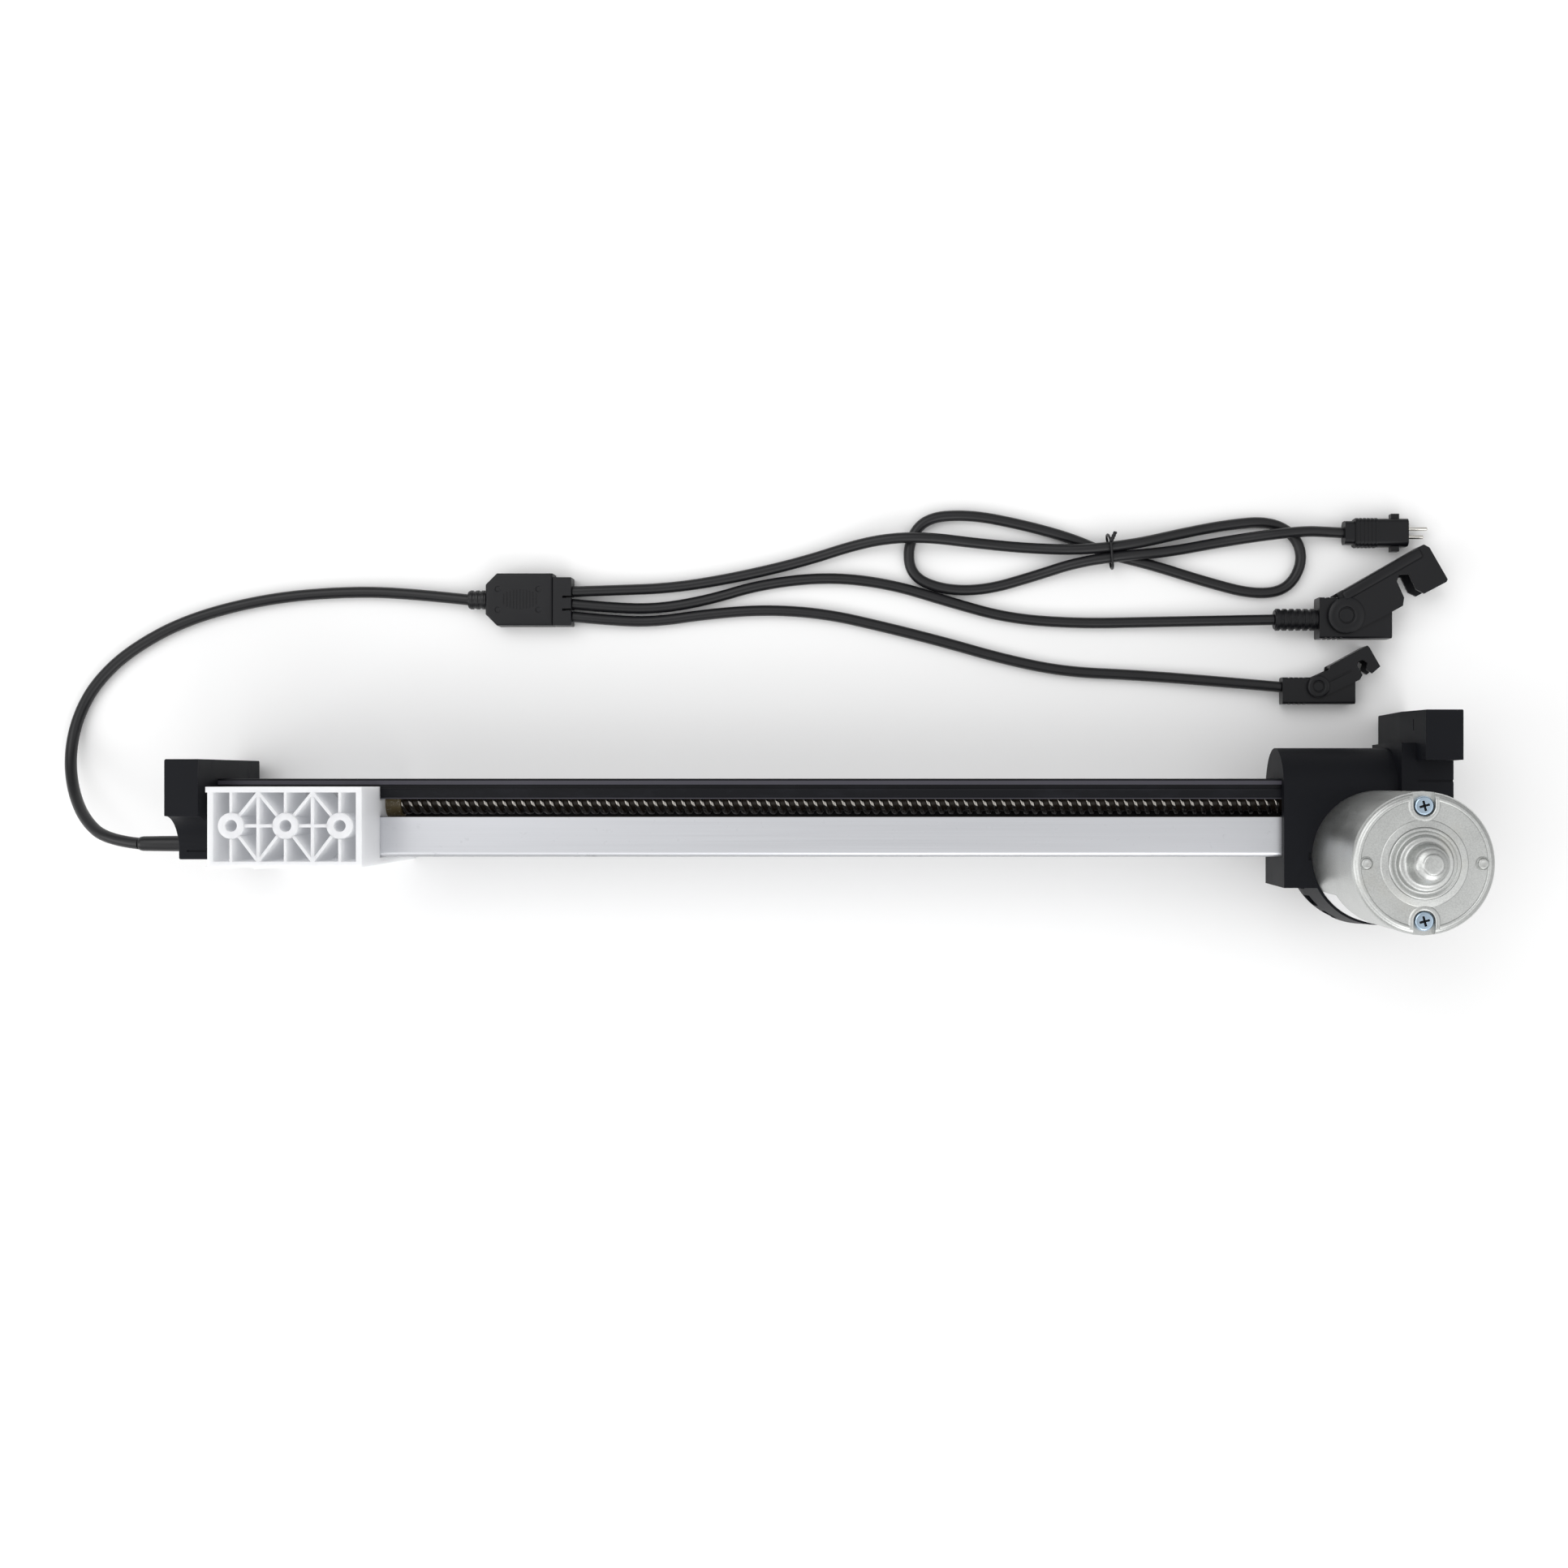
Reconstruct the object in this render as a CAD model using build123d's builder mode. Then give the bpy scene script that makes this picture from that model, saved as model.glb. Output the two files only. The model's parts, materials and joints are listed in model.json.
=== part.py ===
"""Linear furniture actuator: a motor and worm gearbox drive a lead screw inside a slotted rail.

The screw carries a nylon slider along the rail. A bar at each end holds the actuator in its frame,
and a splitter cable ends in one plug and two latching sockets.

Frame: +X runs along the rail to the motor, +Y points to the mounting bars, +Z is up, and the
origin is on the floor under the middle of the rigid parts. Millimetres throughout.
"""

import math
import os

from build123d import *

os.makedirs("parts", exist_ok=True)

# ---- driving dimensions --------------------------------------------------------------------
length = 530.0  # over both mounting bars
axis_z = 40.0  # rail mid-plane above the floor, half the slider's depth
slider_depth = 2 * axis_z
bar_reach = 35.0  # mounting bars, each side of the mid-plane
soft_gap = 0.35  # clearance between parts that slide past each other

left = -length / 2
right = length / 2

# rail and cover strip, seen along X
rail_half = 13.65
rail_y0, rail_y1 = -15.85, 1.15
strip_y0, strip_y1 = 8.45, 17.0
rail_wall = 2.25
rail_x0, rail_x1 = left + 6.0, 201.0
rail_length = rail_x1 - rail_x0

# lead screw: two-start, 4 mm pitch, so 8 mm of travel a turn
screw_y = 6.85
screw_r = 5.0
screw_journal_r = 4.0
screw_tail_r = 3.0
running_gap = 0.05

# slider, with its left end stop near the end cap
slider_x0, slider_x1 = -245.3, -182.9
slider_y0, slider_y1 = -18.95, 13.65
slider_wall = 2.3
boss_spacing = 22.0
boss_mid_x = -213.8
boss_y = -2.15
boss_r, boss_hole_r = 5.3, 2.4
pocket_depth = 24.0
nut_r = 6.5
nut_overhang = 6.4

# end cap at the left
cap_x1 = left + 13.9
bar_left_y0, bar_left_y1 = 1.65, 24.95
cap_y0 = -16.65
cap_half = 20.0
cap_cove = 15.0
boot_y = -10.75
boot_r = 3.4
boot_length = 24.7

# gearbox
box_x0, box_x1 = 195.2, 248.7
box_y0, arch_y, box_half = -28.65, 11.85, 18.2
box_cavity = 15.5
neck_half = 22.4
bar_right_y0, bar_right_y1 = 24.15, 45.65
neck_y1 = bar_right_y0 + 8.0  # the neck runs on inside the bar
motor_x, motor_y = 234.4, -15.45
drum_top_r, drum_wide_r, drum_z_wide = 28.6, 30.2, axis_z - 8.6
boss_floor_r = 13.0

# worm and wheel
wheel_teeth = 30
wheel_module = 0.95
wheel_r = wheel_module * wheel_teeth / 2
centre_distance = screw_y - motor_y
worm_r = centre_distance - wheel_r
worm_pitch = math.pi * wheel_module
tooth_thickness = 1.1
thread_thickness = 1.0
flank = math.tan(math.radians(20))
tip_height, root_depth = 0.95, 1.19
thread_height, thread_root = 0.8, 1.2
wheel_width = 10.0
worm_turns = 8

# motor
can_r, can_wall = 27.5, 1.4
can_z0, can_z1 = 57.2, axis_z + 81.7
dome_height = 12.0
screw_pitch_r = 22.0
rivet_pitch_r = 22.2

# cords
main_d, lead_d = 5.0, 4.8
lie_z = 2.6  # centre of a cord that lies on the floor
plug_z = 4.6  # centre of the splitter and the leads where they leave it


# ---- rail ----------------------------------------------------------------------------------
def plan_yz(x):
    """Section plane across the rail at x: sketch x is world Y, sketch y is world Z."""
    return Plane.YZ.offset(x)


with BuildPart() as rail_profile:
    with BuildSketch(plan_yz(rail_x0)) as rail_section:
        with Locations(((rail_y0 + rail_y1) / 2, axis_z)):
            Rectangle(rail_y1 - rail_y0, 2 * rail_half)
        fillet(rail_section.vertices().group_by(Axis.X)[0], 2.2)
        with Locations((rail_y0 + 3.0, axis_z)):
            Rectangle(30, 2 * (rail_half - rail_wall), align=(Align.MIN, Align.CENTER), mode=Mode.SUBTRACT)
        # screw ports in the two floor corners
        with Locations((rail_y0 + 4.6, axis_z - 8.4), (rail_y0 + 4.6, axis_z + 8.4)):
            Circle(3.2)
            Circle(1.5, mode=Mode.SUBTRACT)
    extrude(amount=rail_length)
rail_profile.part.label = "rail_profile"
export_step(rail_profile.part, "parts/rail_profile.step")

with BuildPart() as cover_strip:
    with BuildSketch(plan_yz(rail_x0)) as strip_section:
        with Locations(((strip_y0 + strip_y1) / 2, axis_z)):
            Rectangle(strip_y1 - strip_y0, 2 * rail_half)
        chamfer(strip_section.vertices().group_by(Axis.X)[-1], 0.9)
        with Locations((strip_y0, axis_z)):
            Rectangle(6.35, 22.4, align=(Align.MIN, Align.CENTER), mode=Mode.SUBTRACT)
        # a groove along each side and a shallow step over the lower lip
        for side in (-1, 1):
            with Locations((13.63, axis_z + side * rail_half)):
                Rectangle(1.63, 2.0, mode=Mode.SUBTRACT)
            with Locations((10.7, axis_z + side * rail_half)):
                Rectangle(3.4, 0.5, mode=Mode.SUBTRACT)
    extrude(amount=rail_length)
cover_strip.part.label = "cover_strip"
export_step(cover_strip.part, "parts/cover_strip.step")

# ---- lead screw ----------------------------------------------------------------------------
screw_tail_x0 = left + 2.6
screw_thread_x0 = left + 9.0
screw_thread_x1 = 196.0
screw_end_x = 246.0
with BuildPart() as lead_screw:
    for start, end, radius in (
        (screw_tail_x0, screw_thread_x0, screw_tail_r),
        (screw_thread_x0, screw_thread_x1, screw_r),
        (screw_thread_x1, screw_end_x, screw_journal_r),
    ):
        with BuildSketch(plan_yz(start)):
            with Locations((screw_y, axis_z)):
                Circle(radius)
        extrude(amount=end - start)
    chamfer(lead_screw.edges().filter_by(GeomType.CIRCLE).group_by(Axis.X)[0], 0.5)
    chamfer(lead_screw.edges().filter_by(GeomType.CIRCLE).group_by(Axis.X)[-1], 0.5)
lead_screw.part.label = "lead_screw"
export_step(lead_screw.part, "parts/lead_screw.step")

with BuildPart() as screw_end_bush:
    for start, end, radius in ((left + 2.2, left + 6.2, 5.0), (left + 6.2, left + 7.8, 7.0)):
        with BuildSketch(plan_yz(start)):
            with Locations((screw_y, axis_z)):
                Circle(radius)
                Circle(screw_tail_r + running_gap, mode=Mode.SUBTRACT)
        extrude(amount=end - start)
screw_end_bush.part.label = "screw_end_bush"
export_step(screw_end_bush.part, "parts/screw_end_bush.step")

# ball bearings of the screw: an outer ring, an inner ring and a ring of balls
bearings = {
    "screw_bearing_inner_end": (201.8, 7.0, 11.0, 8),
    "screw_bearing_outer_end": (240.6, 5.0, 8.0, 9),
}
for name, (start, width, outer_r, balls) in bearings.items():
    ball_pitch_r = (screw_journal_r + outer_r) / 2
    ball_r = (outer_r - screw_journal_r) * 0.27
    with BuildPart() as bearing:
        with BuildSketch(plan_yz(start)):
            with Locations((screw_y, axis_z)):
                Circle(outer_r)
                Circle(ball_pitch_r + 0.7 * ball_r, mode=Mode.SUBTRACT)
                Circle(ball_pitch_r - 0.7 * ball_r)
                Circle(screw_journal_r + 0.02, mode=Mode.SUBTRACT)
        extrude(amount=width)
        with BuildSketch(plan_yz(start + width / 2 - 0.3)):
            with Locations((screw_y, axis_z)):
                Circle(ball_pitch_r + 0.9 * ball_r)
                Circle(ball_pitch_r - 0.9 * ball_r, mode=Mode.SUBTRACT)
        extrude(amount=0.6)
        with Locations(Plane(origin=(start + width / 2, screw_y, axis_z), z_dir=(1, 0, 0))):
            with PolarLocations(ball_pitch_r, balls):
                Sphere(ball_r)
    bearing.part.label = name
    export_step(bearing.part, f"parts/{name}.step")

# ---- slider --------------------------------------------------------------------------------
cheek_inner = rail_half + soft_gap
slider_mid_x = (slider_x0 + slider_x1) / 2
slider_mid_y = (slider_y0 + slider_y1) / 2
slider_length = slider_x1 - slider_x0
slider_height = slider_y1 - slider_y0
cell_y0, cell_y1 = slider_y0 + slider_wall, slider_y1 - slider_wall
rib_x = (boss_mid_x - boss_spacing / 2, boss_mid_x + boss_spacing / 2)
boss_x = [boss_mid_x + i * boss_spacing for i in (-1, 0, 1)]
# each diagonal rib joins a boss to the foot or head of a full-height rib
diagonals = [
    ((boss, boss_y), (rib, y))
    for boss, ribs in zip(boss_x, (rib_x[:1], rib_x, rib_x[1:]))
    for rib in ribs
    for y in (cell_y0, cell_y1)
]

with BuildPart() as slider_block:
    for side in (-1, 1):
        with BuildSketch(Plane.XY.offset(axis_z + side * cheek_inner)):
            with Locations((slider_mid_x, slider_mid_y)):
                Rectangle(slider_length, slider_height)
        extrude(amount=side * (axis_z - cheek_inner))
    # floor wall under the rail, with four saw-tooth feet along its underside
    with BuildSketch(Plane.XY):
        with Locations((slider_x0, slider_y0)):
            Rectangle(slider_length, rail_y0 - soft_gap - slider_y0, align=Align.MIN)
        for i in range(4):
            foot_x = slider_x0 - 0.8 + i * 19.5
            with BuildLine():
                foot_end = min(foot_x + 15, slider_x1)
                Polyline(
                    (foot_x, slider_y0 - 0.7),
                    (foot_end, slider_y0),
                    (foot_end, slider_y0 + 0.4),
                    (foot_x, slider_y0 + 0.4),
                    close=True,
                )
            make_face()
    extrude(amount=slider_depth)
    # the head wall overhangs the left end a little
    for side in (-1, 1):
        with BuildSketch(Plane.XY.offset(axis_z + side * cheek_inner)):
            with Locations((slider_x0 - 0.8, cell_y1)):
                Rectangle(4, slider_wall, align=Align.MIN)
        extrude(amount=side * (axis_z - cheek_inner))
    # open cells between the ribs on both faces
    for face_z, side in ((slider_depth, 1), (0.0, -1)):
        with BuildSketch(Plane.XY.offset(face_z)):
            with Locations((slider_mid_x, slider_mid_y)):
                Rectangle(slider_length - 2 * slider_wall, slider_height - 2 * slider_wall)
            for x in rib_x:
                with Locations((x, slider_mid_y)):
                    Rectangle(1.3, slider_height, mode=Mode.SUBTRACT)
            for x in boss_x:
                with Locations((x, slider_mid_y)):
                    Rectangle(1.1, slider_height, mode=Mode.SUBTRACT)
            with Locations((boss_mid_x, boss_y)):
                Rectangle(2 * boss_spacing, 1.3, mode=Mode.SUBTRACT)
            for start, end in diagonals:
                with BuildLine():
                    Line(start, end)
                trace(line_width=1.2, mode=Mode.SUBTRACT)
        extrude(amount=-side * pocket_depth, mode=Mode.SUBTRACT)
        # flat rib ends all round each boss
        with BuildSketch(Plane.XY.offset(face_z)):
            with Locations(*[(x, boss_y) for x in boss_x]):
                RegularPolygon(boss_r, 24, major_radius=False)
        extrude(amount=-side * pocket_depth, mode=Mode.SUBTRACT)
    # webs through the two slots of the rail, and the hub that holds the nut
    with BuildSketch(plan_yz(slider_x0)):
        with Locations(((rail_y1 + strip_y0) / 2, axis_z)):
            Rectangle(strip_y0 - rail_y1 - 2 * soft_gap, 2 * cheek_inner + 1)
        with Locations((screw_y - 0.9, axis_z)):
            Rectangle(16.9, 15.4)
    extrude(amount=slider_length)
    with BuildSketch(plan_yz(slider_x0)):
        with Locations((screw_y, axis_z)):
            Circle(nut_r)
    extrude(amount=slider_length, mode=Mode.SUBTRACT)
slider_block.part.label = "slider_block"
export_step(slider_block.part, "parts/slider_block.step")

# six bored bosses of the same moulding, held by its ribs
with BuildPart() as slider_bosses:
    for face_z, side in ((slider_depth, 1), (0.0, -1)):
        with BuildSketch(Plane.XY.offset(face_z)):
            with Locations(*[(x, boss_y) for x in boss_x]):
                Circle(boss_r)
                Circle(boss_hole_r, mode=Mode.SUBTRACT)
        extrude(amount=-side * pocket_depth)
slider_bosses.part.label = "slider_bosses"
export_step(slider_bosses.part, "parts/slider_bosses.step")

with BuildPart() as drive_nut:
    with BuildSketch(plan_yz(slider_x0 + 12)):
        with Locations((screw_y, axis_z)):
            Circle(nut_r)
            Circle(screw_r + running_gap, mode=Mode.SUBTRACT)
    extrude(amount=slider_length - 12 + nut_overhang)
    chamfer(drive_nut.edges().group_by(Axis.X)[-1].sort_by(SortBy.RADIUS)[-1], 0.5)
drive_nut.part.label = "drive_nut"
export_step(drive_nut.part, "parts/drive_nut.step")

# ---- end cap -------------------------------------------------------------------------------
cove_y = bar_left_y0 - cap_cove
cove_mid = cap_cove * math.sqrt(0.5)
cap_screw_spots = [(rail_y0 + 4.6, axis_z + side * 8.4) for side in (-1, 1)]
with BuildPart() as end_cap:
    with BuildSketch(plan_yz(left)) as cap_section:
        with BuildLine():
            Polyline(
                (cove_y, axis_z - cap_half),
                (cap_y0, axis_z - cap_half),
                (cap_y0, axis_z + cap_half),
                (cove_y, axis_z + cap_half),
            )
            ThreePointArc(
                (cove_y, axis_z + cap_half),
                (cove_y + cove_mid, axis_z + bar_reach - cove_mid),
                (bar_left_y0, axis_z + bar_reach),
            )
            Polyline(
                (bar_left_y0, axis_z + bar_reach),
                (bar_left_y1, axis_z + bar_reach),
                (bar_left_y1, axis_z - bar_reach),
                (bar_left_y0, axis_z - bar_reach),
            )
            ThreePointArc(
                (bar_left_y0, axis_z - bar_reach),
                (cove_y + cove_mid, axis_z - bar_reach + cove_mid),
                (cove_y, axis_z - cap_half),
            )
        make_face()
        fillet(cap_section.vertices().group_by(Axis.X)[-1], 1.0)
        fillet(cap_section.vertices().group_by(Axis.X)[0], 0.8)
    extrude(amount=cap_x1 - left)
    fillet(end_cap.faces().sort_by(Axis.X)[0].edges(), 0.6)
    # socket for the ends of the rail and the cover strip
    with BuildSketch(plan_yz(rail_x0)):
        with Locations(((rail_y0 + strip_y1) / 2, axis_z)):
            Rectangle(strip_y1 - rail_y0 + 0.06, 2 * rail_half + 0.06)
    extrude(amount=20, mode=Mode.SUBTRACT)
    # seat of the screw's end bush, and the cable's way in
    with BuildSketch(plan_yz(left + 2.2)):
        with Locations((screw_y, axis_z)):
            Circle(5.02)
    extrude(amount=10, mode=Mode.SUBTRACT)
    with BuildSketch(plan_yz(left - 1)):
        with Locations((boot_y, axis_z)):
            Circle(2.55)
        with Locations(*cap_screw_spots):
            Circle(1.6)
    extrude(amount=20, mode=Mode.SUBTRACT)
    with BuildSketch(plan_yz(left - 1)):
        with Locations(*cap_screw_spots):
            Circle(3.2)
    extrude(amount=3.4, mode=Mode.SUBTRACT)
    # two grooves each side mark the clamp that grips the cable
    for side in (-1, 1):
        for y in (-8.75, -13.15):
            with Locations((left + 9, y, axis_z + side * cap_half)):
                Box(11, 0.6, 1.2, mode=Mode.SUBTRACT)
end_cap.part.label = "end_cap"
export_step(end_cap.part, "parts/end_cap.step")

with BuildPart() as end_cap_screws:
    with BuildSketch(plan_yz(left + 0.3)):
        with Locations(*cap_screw_spots):
            Circle(3.0)
    extrude(amount=2.1)
    with BuildSketch(plan_yz(left + 0.3)):
        with Locations(*cap_screw_spots):
            Circle(1.48)
    extrude(amount=18)
    # cross recess of each head
    with BuildSketch(plan_yz(left + 0.3)):
        with Locations(*cap_screw_spots):
            Rectangle(3.4, 0.8)
            Rectangle(0.8, 3.4)
    extrude(amount=1.0, mode=Mode.SUBTRACT)
end_cap_screws.part.label = "end_cap_screws"
export_step(end_cap_screws.part, "parts/end_cap_screws.step")

# limit switches stand on the floor of the rail, one at each end of the travel
with BuildPart() as limit_switches:
    for x in (-237.0, 176.0):
        with Locations((x, rail_y0 + 3.0, axis_z)):
            Box(19.8, 6.4, 6.4, align=(Align.CENTER, Align.MIN, Align.CENTER))
        with Locations((x - 3, rail_y0 + 9.2, axis_z)):
            Box(2.4, 1.6, 3.0, align=(Align.CENTER, Align.MIN, Align.CENTER))
limit_switches.part.label = "limit_switches"
export_step(limit_switches.part, "parts/limit_switches.step")

# ---- gearbox housing -----------------------------------------------------------------------
motor_spot = (motor_x, motor_y)
housing_screw_spots = ((205.0, -21.5), (205.0, 24.2), (257.0, 17.5), (257.0, 31.0))
housing_screw_head_z = (26.0, 29.5, 20.0, 8.0)
chamber_x0 = box_x0 + 16.0
outer_seat_x0 = 240.4
wire_y, wire_side = 13.6, 10.2  # the motor wires, in the top corners of the strip's hollow
wire_rise = [(216.5, -10.0), (216.5, -21.0)]  # where they rise into the motor
sections = {"gearbox_front_housing": Keep.TOP, "gearbox_rear_housing": Keep.BOTTOM}


def barrel_sketch(half):
    """Section of the gearbox barrel: straight sides under a round top. Call inside a sketch."""
    with Locations((arch_y, axis_z)):
        Circle(half)
    with Locations(((box_y0 + arch_y) / 2, axis_z)):
        Rectangle(arch_y - box_y0, 2 * half)


for name, kept_side in sections.items():
    with BuildPart() as housing:
        # barrel with a rounded right end
        with BuildSketch(plan_yz(box_x0)):
            barrel_sketch(box_half)
        extrude(amount=box_x1 - box_x0)
        fillet(housing.faces().sort_by(Axis.X)[-1].edges(), 4.0)
        # round drum under the motor, widest behind the mid-plane
        with Locations((motor_x, motor_y, axis_z - box_half)):
            wide_up = drum_z_wide - axis_z + box_half
            Cone(drum_wide_r - 0.8, drum_wide_r, wide_up, align=(Align.CENTER, Align.CENTER, Align.MIN))
        with Locations((motor_x, motor_y, drum_z_wide)):
            top_up = axis_z + box_half - drum_z_wide
            Cone(drum_wide_r, drum_top_r, top_up, align=(Align.CENTER, Align.CENTER, Align.MIN))
        # neck and mounting bar, both drawn in towards their faces for the mould
        for side in (-1, 1):
            with BuildSketch(Plane.XY.offset(axis_z)):
                with Locations(((box_x1 - 6 + right - 0.2) / 2, (neck_y1 + motor_y) / 2)):
                    Rectangle(right - 0.2 - box_x1 + 6, neck_y1 - motor_y)
            extrude(amount=side * neck_half, taper=0.8)
            with BuildSketch(Plane.XY.offset(axis_z)) as bar_plan:
                with Locations(((box_x1 + right) / 2, (bar_right_y0 + bar_right_y1) / 2)):
                    Rectangle(right - box_x1, bar_right_y1 - bar_right_y0)
                fillet(bar_plan.vertices().group_by(Axis.Y)[-1], 1.0)
            extrude(amount=side * bar_reach, taper=0.8)
        # boss of the worm's end bearing, which reaches the floor
        with Locations((motor_x, motor_y, 0)):
            Cone(boss_floor_r, boss_floor_r + 1.2, axis_z - box_half + 1,
                 align=(Align.CENTER, Align.CENTER, Align.MIN))
        # chamber of the wheel and the worm
        with BuildSketch(plan_yz(chamber_x0)):
            with Locations((screw_y, axis_z)):
                Circle(box_cavity)
            with Locations(((box_y0 + 2 + screw_y) / 2, axis_z)):
                Rectangle(screw_y - box_y0 - 2, 2 * box_cavity)
        extrude(amount=outer_seat_x0 - chamber_x0, mode=Mode.SUBTRACT)
        with Locations((motor_x, motor_y, axis_z)):
            Cylinder(drum_top_r - 2.4, 2 * box_cavity, mode=Mode.SUBTRACT)
        # the screw's outer bearing seat stands in that chamber
        with BuildSketch(plan_yz(outer_seat_x0)):
            with Locations((screw_y, axis_z)):
                Circle(10.5)
            with Locations((screw_y - 3, axis_z)):
                Rectangle(22, 2 * box_cavity + 1)
        extrude(amount=box_x1 - outer_seat_x0 - 1)
        # sockets of the rail and the strip, and both bearing seats
        with BuildSketch(plan_yz(box_x0)):
            with Locations(((rail_y0 + strip_y1) / 2, axis_z)):
                Rectangle(strip_y1 - rail_y0 + 0.06, 2 * rail_half + 0.06)
        extrude(amount=rail_x1 - box_x0, mode=Mode.SUBTRACT)
        for seat_x, seat_length, radius in (
            (rail_x1 - 1, 8.85, 11.02),
            (rail_x1 + 6, 10.0, 6.0),
            (outer_seat_x0, 5.25, 8.02),
            (outer_seat_x0, 6.6, 5.0),
        ):
            with BuildSketch(plan_yz(seat_x)):
                with Locations((screw_y, axis_z)):
                    Circle(radius)
            extrude(amount=seat_length, mode=Mode.SUBTRACT)
        # way of the two motor wires: from the strip's hollow through the inner wall
        with BuildSketch(plan_yz(rail_x1 - 1)):
            with Locations((wire_y, axis_z - wire_side), (wire_y, axis_z + wire_side)):
                Circle(1.1)
        extrude(amount=12, mode=Mode.SUBTRACT)
        # seat of the motor, its shaft's way through, and the seat of the worm's end bush
        with Locations((motor_x, motor_y, can_z0)):
            Cylinder(can_r + 0.05, 10, align=(Align.CENTER, Align.CENTER, Align.MIN), mode=Mode.SUBTRACT)
        with Locations((motor_x, motor_y, axis_z)):
            Cylinder(10.5, 40, align=(Align.CENTER, Align.CENTER, Align.MIN), mode=Mode.SUBTRACT)
        with Locations((motor_x, motor_y, 8.0)):
            Cylinder(5.02, 20, align=(Align.CENTER, Align.CENTER, Align.MIN), mode=Mode.SUBTRACT)
        with Locations((motor_x, motor_y, 16.0)):
            Cylinder(9.6, 20, align=(Align.CENTER, Align.CENTER, Align.MIN), mode=Mode.SUBTRACT)
        # wires rise to the motor through two holes
        with Locations(*[(*spot, 50) for spot in wire_rise]):
            Cylinder(1.6, 20, mode=Mode.SUBTRACT)
        # vents in the drum's outer wall
        for angle in (204, 222, 240):
            vent_x = motor_x + 29 * math.cos(math.radians(angle))
            vent_y = motor_y + 29 * math.sin(math.radians(angle))
            with Locations(Plane((vent_x, vent_y, axis_z - 8), x_dir=(vent_x - motor_x, vent_y - motor_y, 0))):
                Box(6, 6, 12, mode=Mode.SUBTRACT)
        # parting grooves of the neck, a slit in the bar's inner side, key notch beside the motor
        for side in (-1, 1):
            with Locations(((box_x1 + right) / 2 + 1, 16.05, axis_z + side * neck_half)):
                Box(16, 0.9, 1.4, mode=Mode.SUBTRACT)
        with Locations((box_x1, 39.5, axis_z + 18.8)):
            Box(1.0, 4.6, 0.8, mode=Mode.SUBTRACT)
        with Locations((motor_x - can_r - 0.6, motor_y, axis_z + box_half)):
            Box(1.8, 3.2, 2.0, mode=Mode.SUBTRACT)
        # housing screws: clear holes with deep heads in the rear half, tapped ones in the front
        for spot, head_z in zip(housing_screw_spots, housing_screw_head_z):
            with Locations((*spot, 0)):
                Cylinder(3.1, head_z, align=(Align.CENTER, Align.CENTER, Align.MIN), mode=Mode.SUBTRACT)
                Cylinder(1.55, 51, align=(Align.CENTER, Align.CENTER, Align.MIN), mode=Mode.SUBTRACT)
        split(bisect_by=Plane.XY.offset(axis_z), keep=kept_side)
    housing.part.label = name
    export_step(housing.part, f"parts/{name}.step")

with BuildPart() as housing_screws:
    for spot, head_z in zip(housing_screw_spots, housing_screw_head_z):
        with Locations((*spot, head_z - 2.2)):
            Cylinder(2.9, 2.2, align=(Align.CENTER, Align.CENTER, Align.MIN))
        with Locations((*spot, head_z - 1)):
            Cylinder(1.5, 50 - head_z, align=(Align.CENTER, Align.CENTER, Align.MIN))
        with Locations((*spot, head_z - 2.2)):
            Box(3.2, 0.8, 1.8, mode=Mode.SUBTRACT)
            Box(0.8, 3.2, 1.8, mode=Mode.SUBTRACT)
housing_screws.part.label = "housing_screws"
export_step(housing_screws.part, "parts/housing_screws.step")

# ---- worm and wheel ------------------------------------------------------------------------
tooth_root_r = wheel_r - root_depth
tooth_tip_r = wheel_r + tip_height
with BuildPart() as worm_wheel:
    with BuildSketch(plan_yz(motor_x - wheel_width / 2)):
        with Locations((screw_y, axis_z)):
            Circle(tooth_root_r)
            # a gap between two teeth faces the worm
            with PolarLocations(tooth_root_r, wheel_teeth, start_angle=180 / wheel_teeth):
                Polygon(
                    (-0.4, -tooth_thickness / 2 - root_depth * flank),
                    (0, -tooth_thickness / 2 - root_depth * flank),
                    (tooth_tip_r - tooth_root_r, -tooth_thickness / 2 + tip_height * flank),
                    (tooth_tip_r - tooth_root_r, tooth_thickness / 2 - tip_height * flank),
                    (0, tooth_thickness / 2 + root_depth * flank),
                    (-0.4, tooth_thickness / 2 + root_depth * flank),
                    align=None,
                )
            Circle(screw_journal_r, mode=Mode.SUBTRACT)
    extrude(amount=wheel_width)
    # webs thinned on both faces
    for face_x, side in ((motor_x - wheel_width / 2, 1), (motor_x + wheel_width / 2, -1)):
        with BuildSketch(plan_yz(face_x)):
            with Locations((screw_y, axis_z)):
                Circle(tooth_root_r - 2)
                Circle(screw_journal_r + 2.5, mode=Mode.SUBTRACT)
        extrude(amount=side * 2.5, mode=Mode.SUBTRACT)
worm_wheel.part.label = "worm_wheel"
export_step(worm_wheel.part, "parts/worm_wheel.step")

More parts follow.
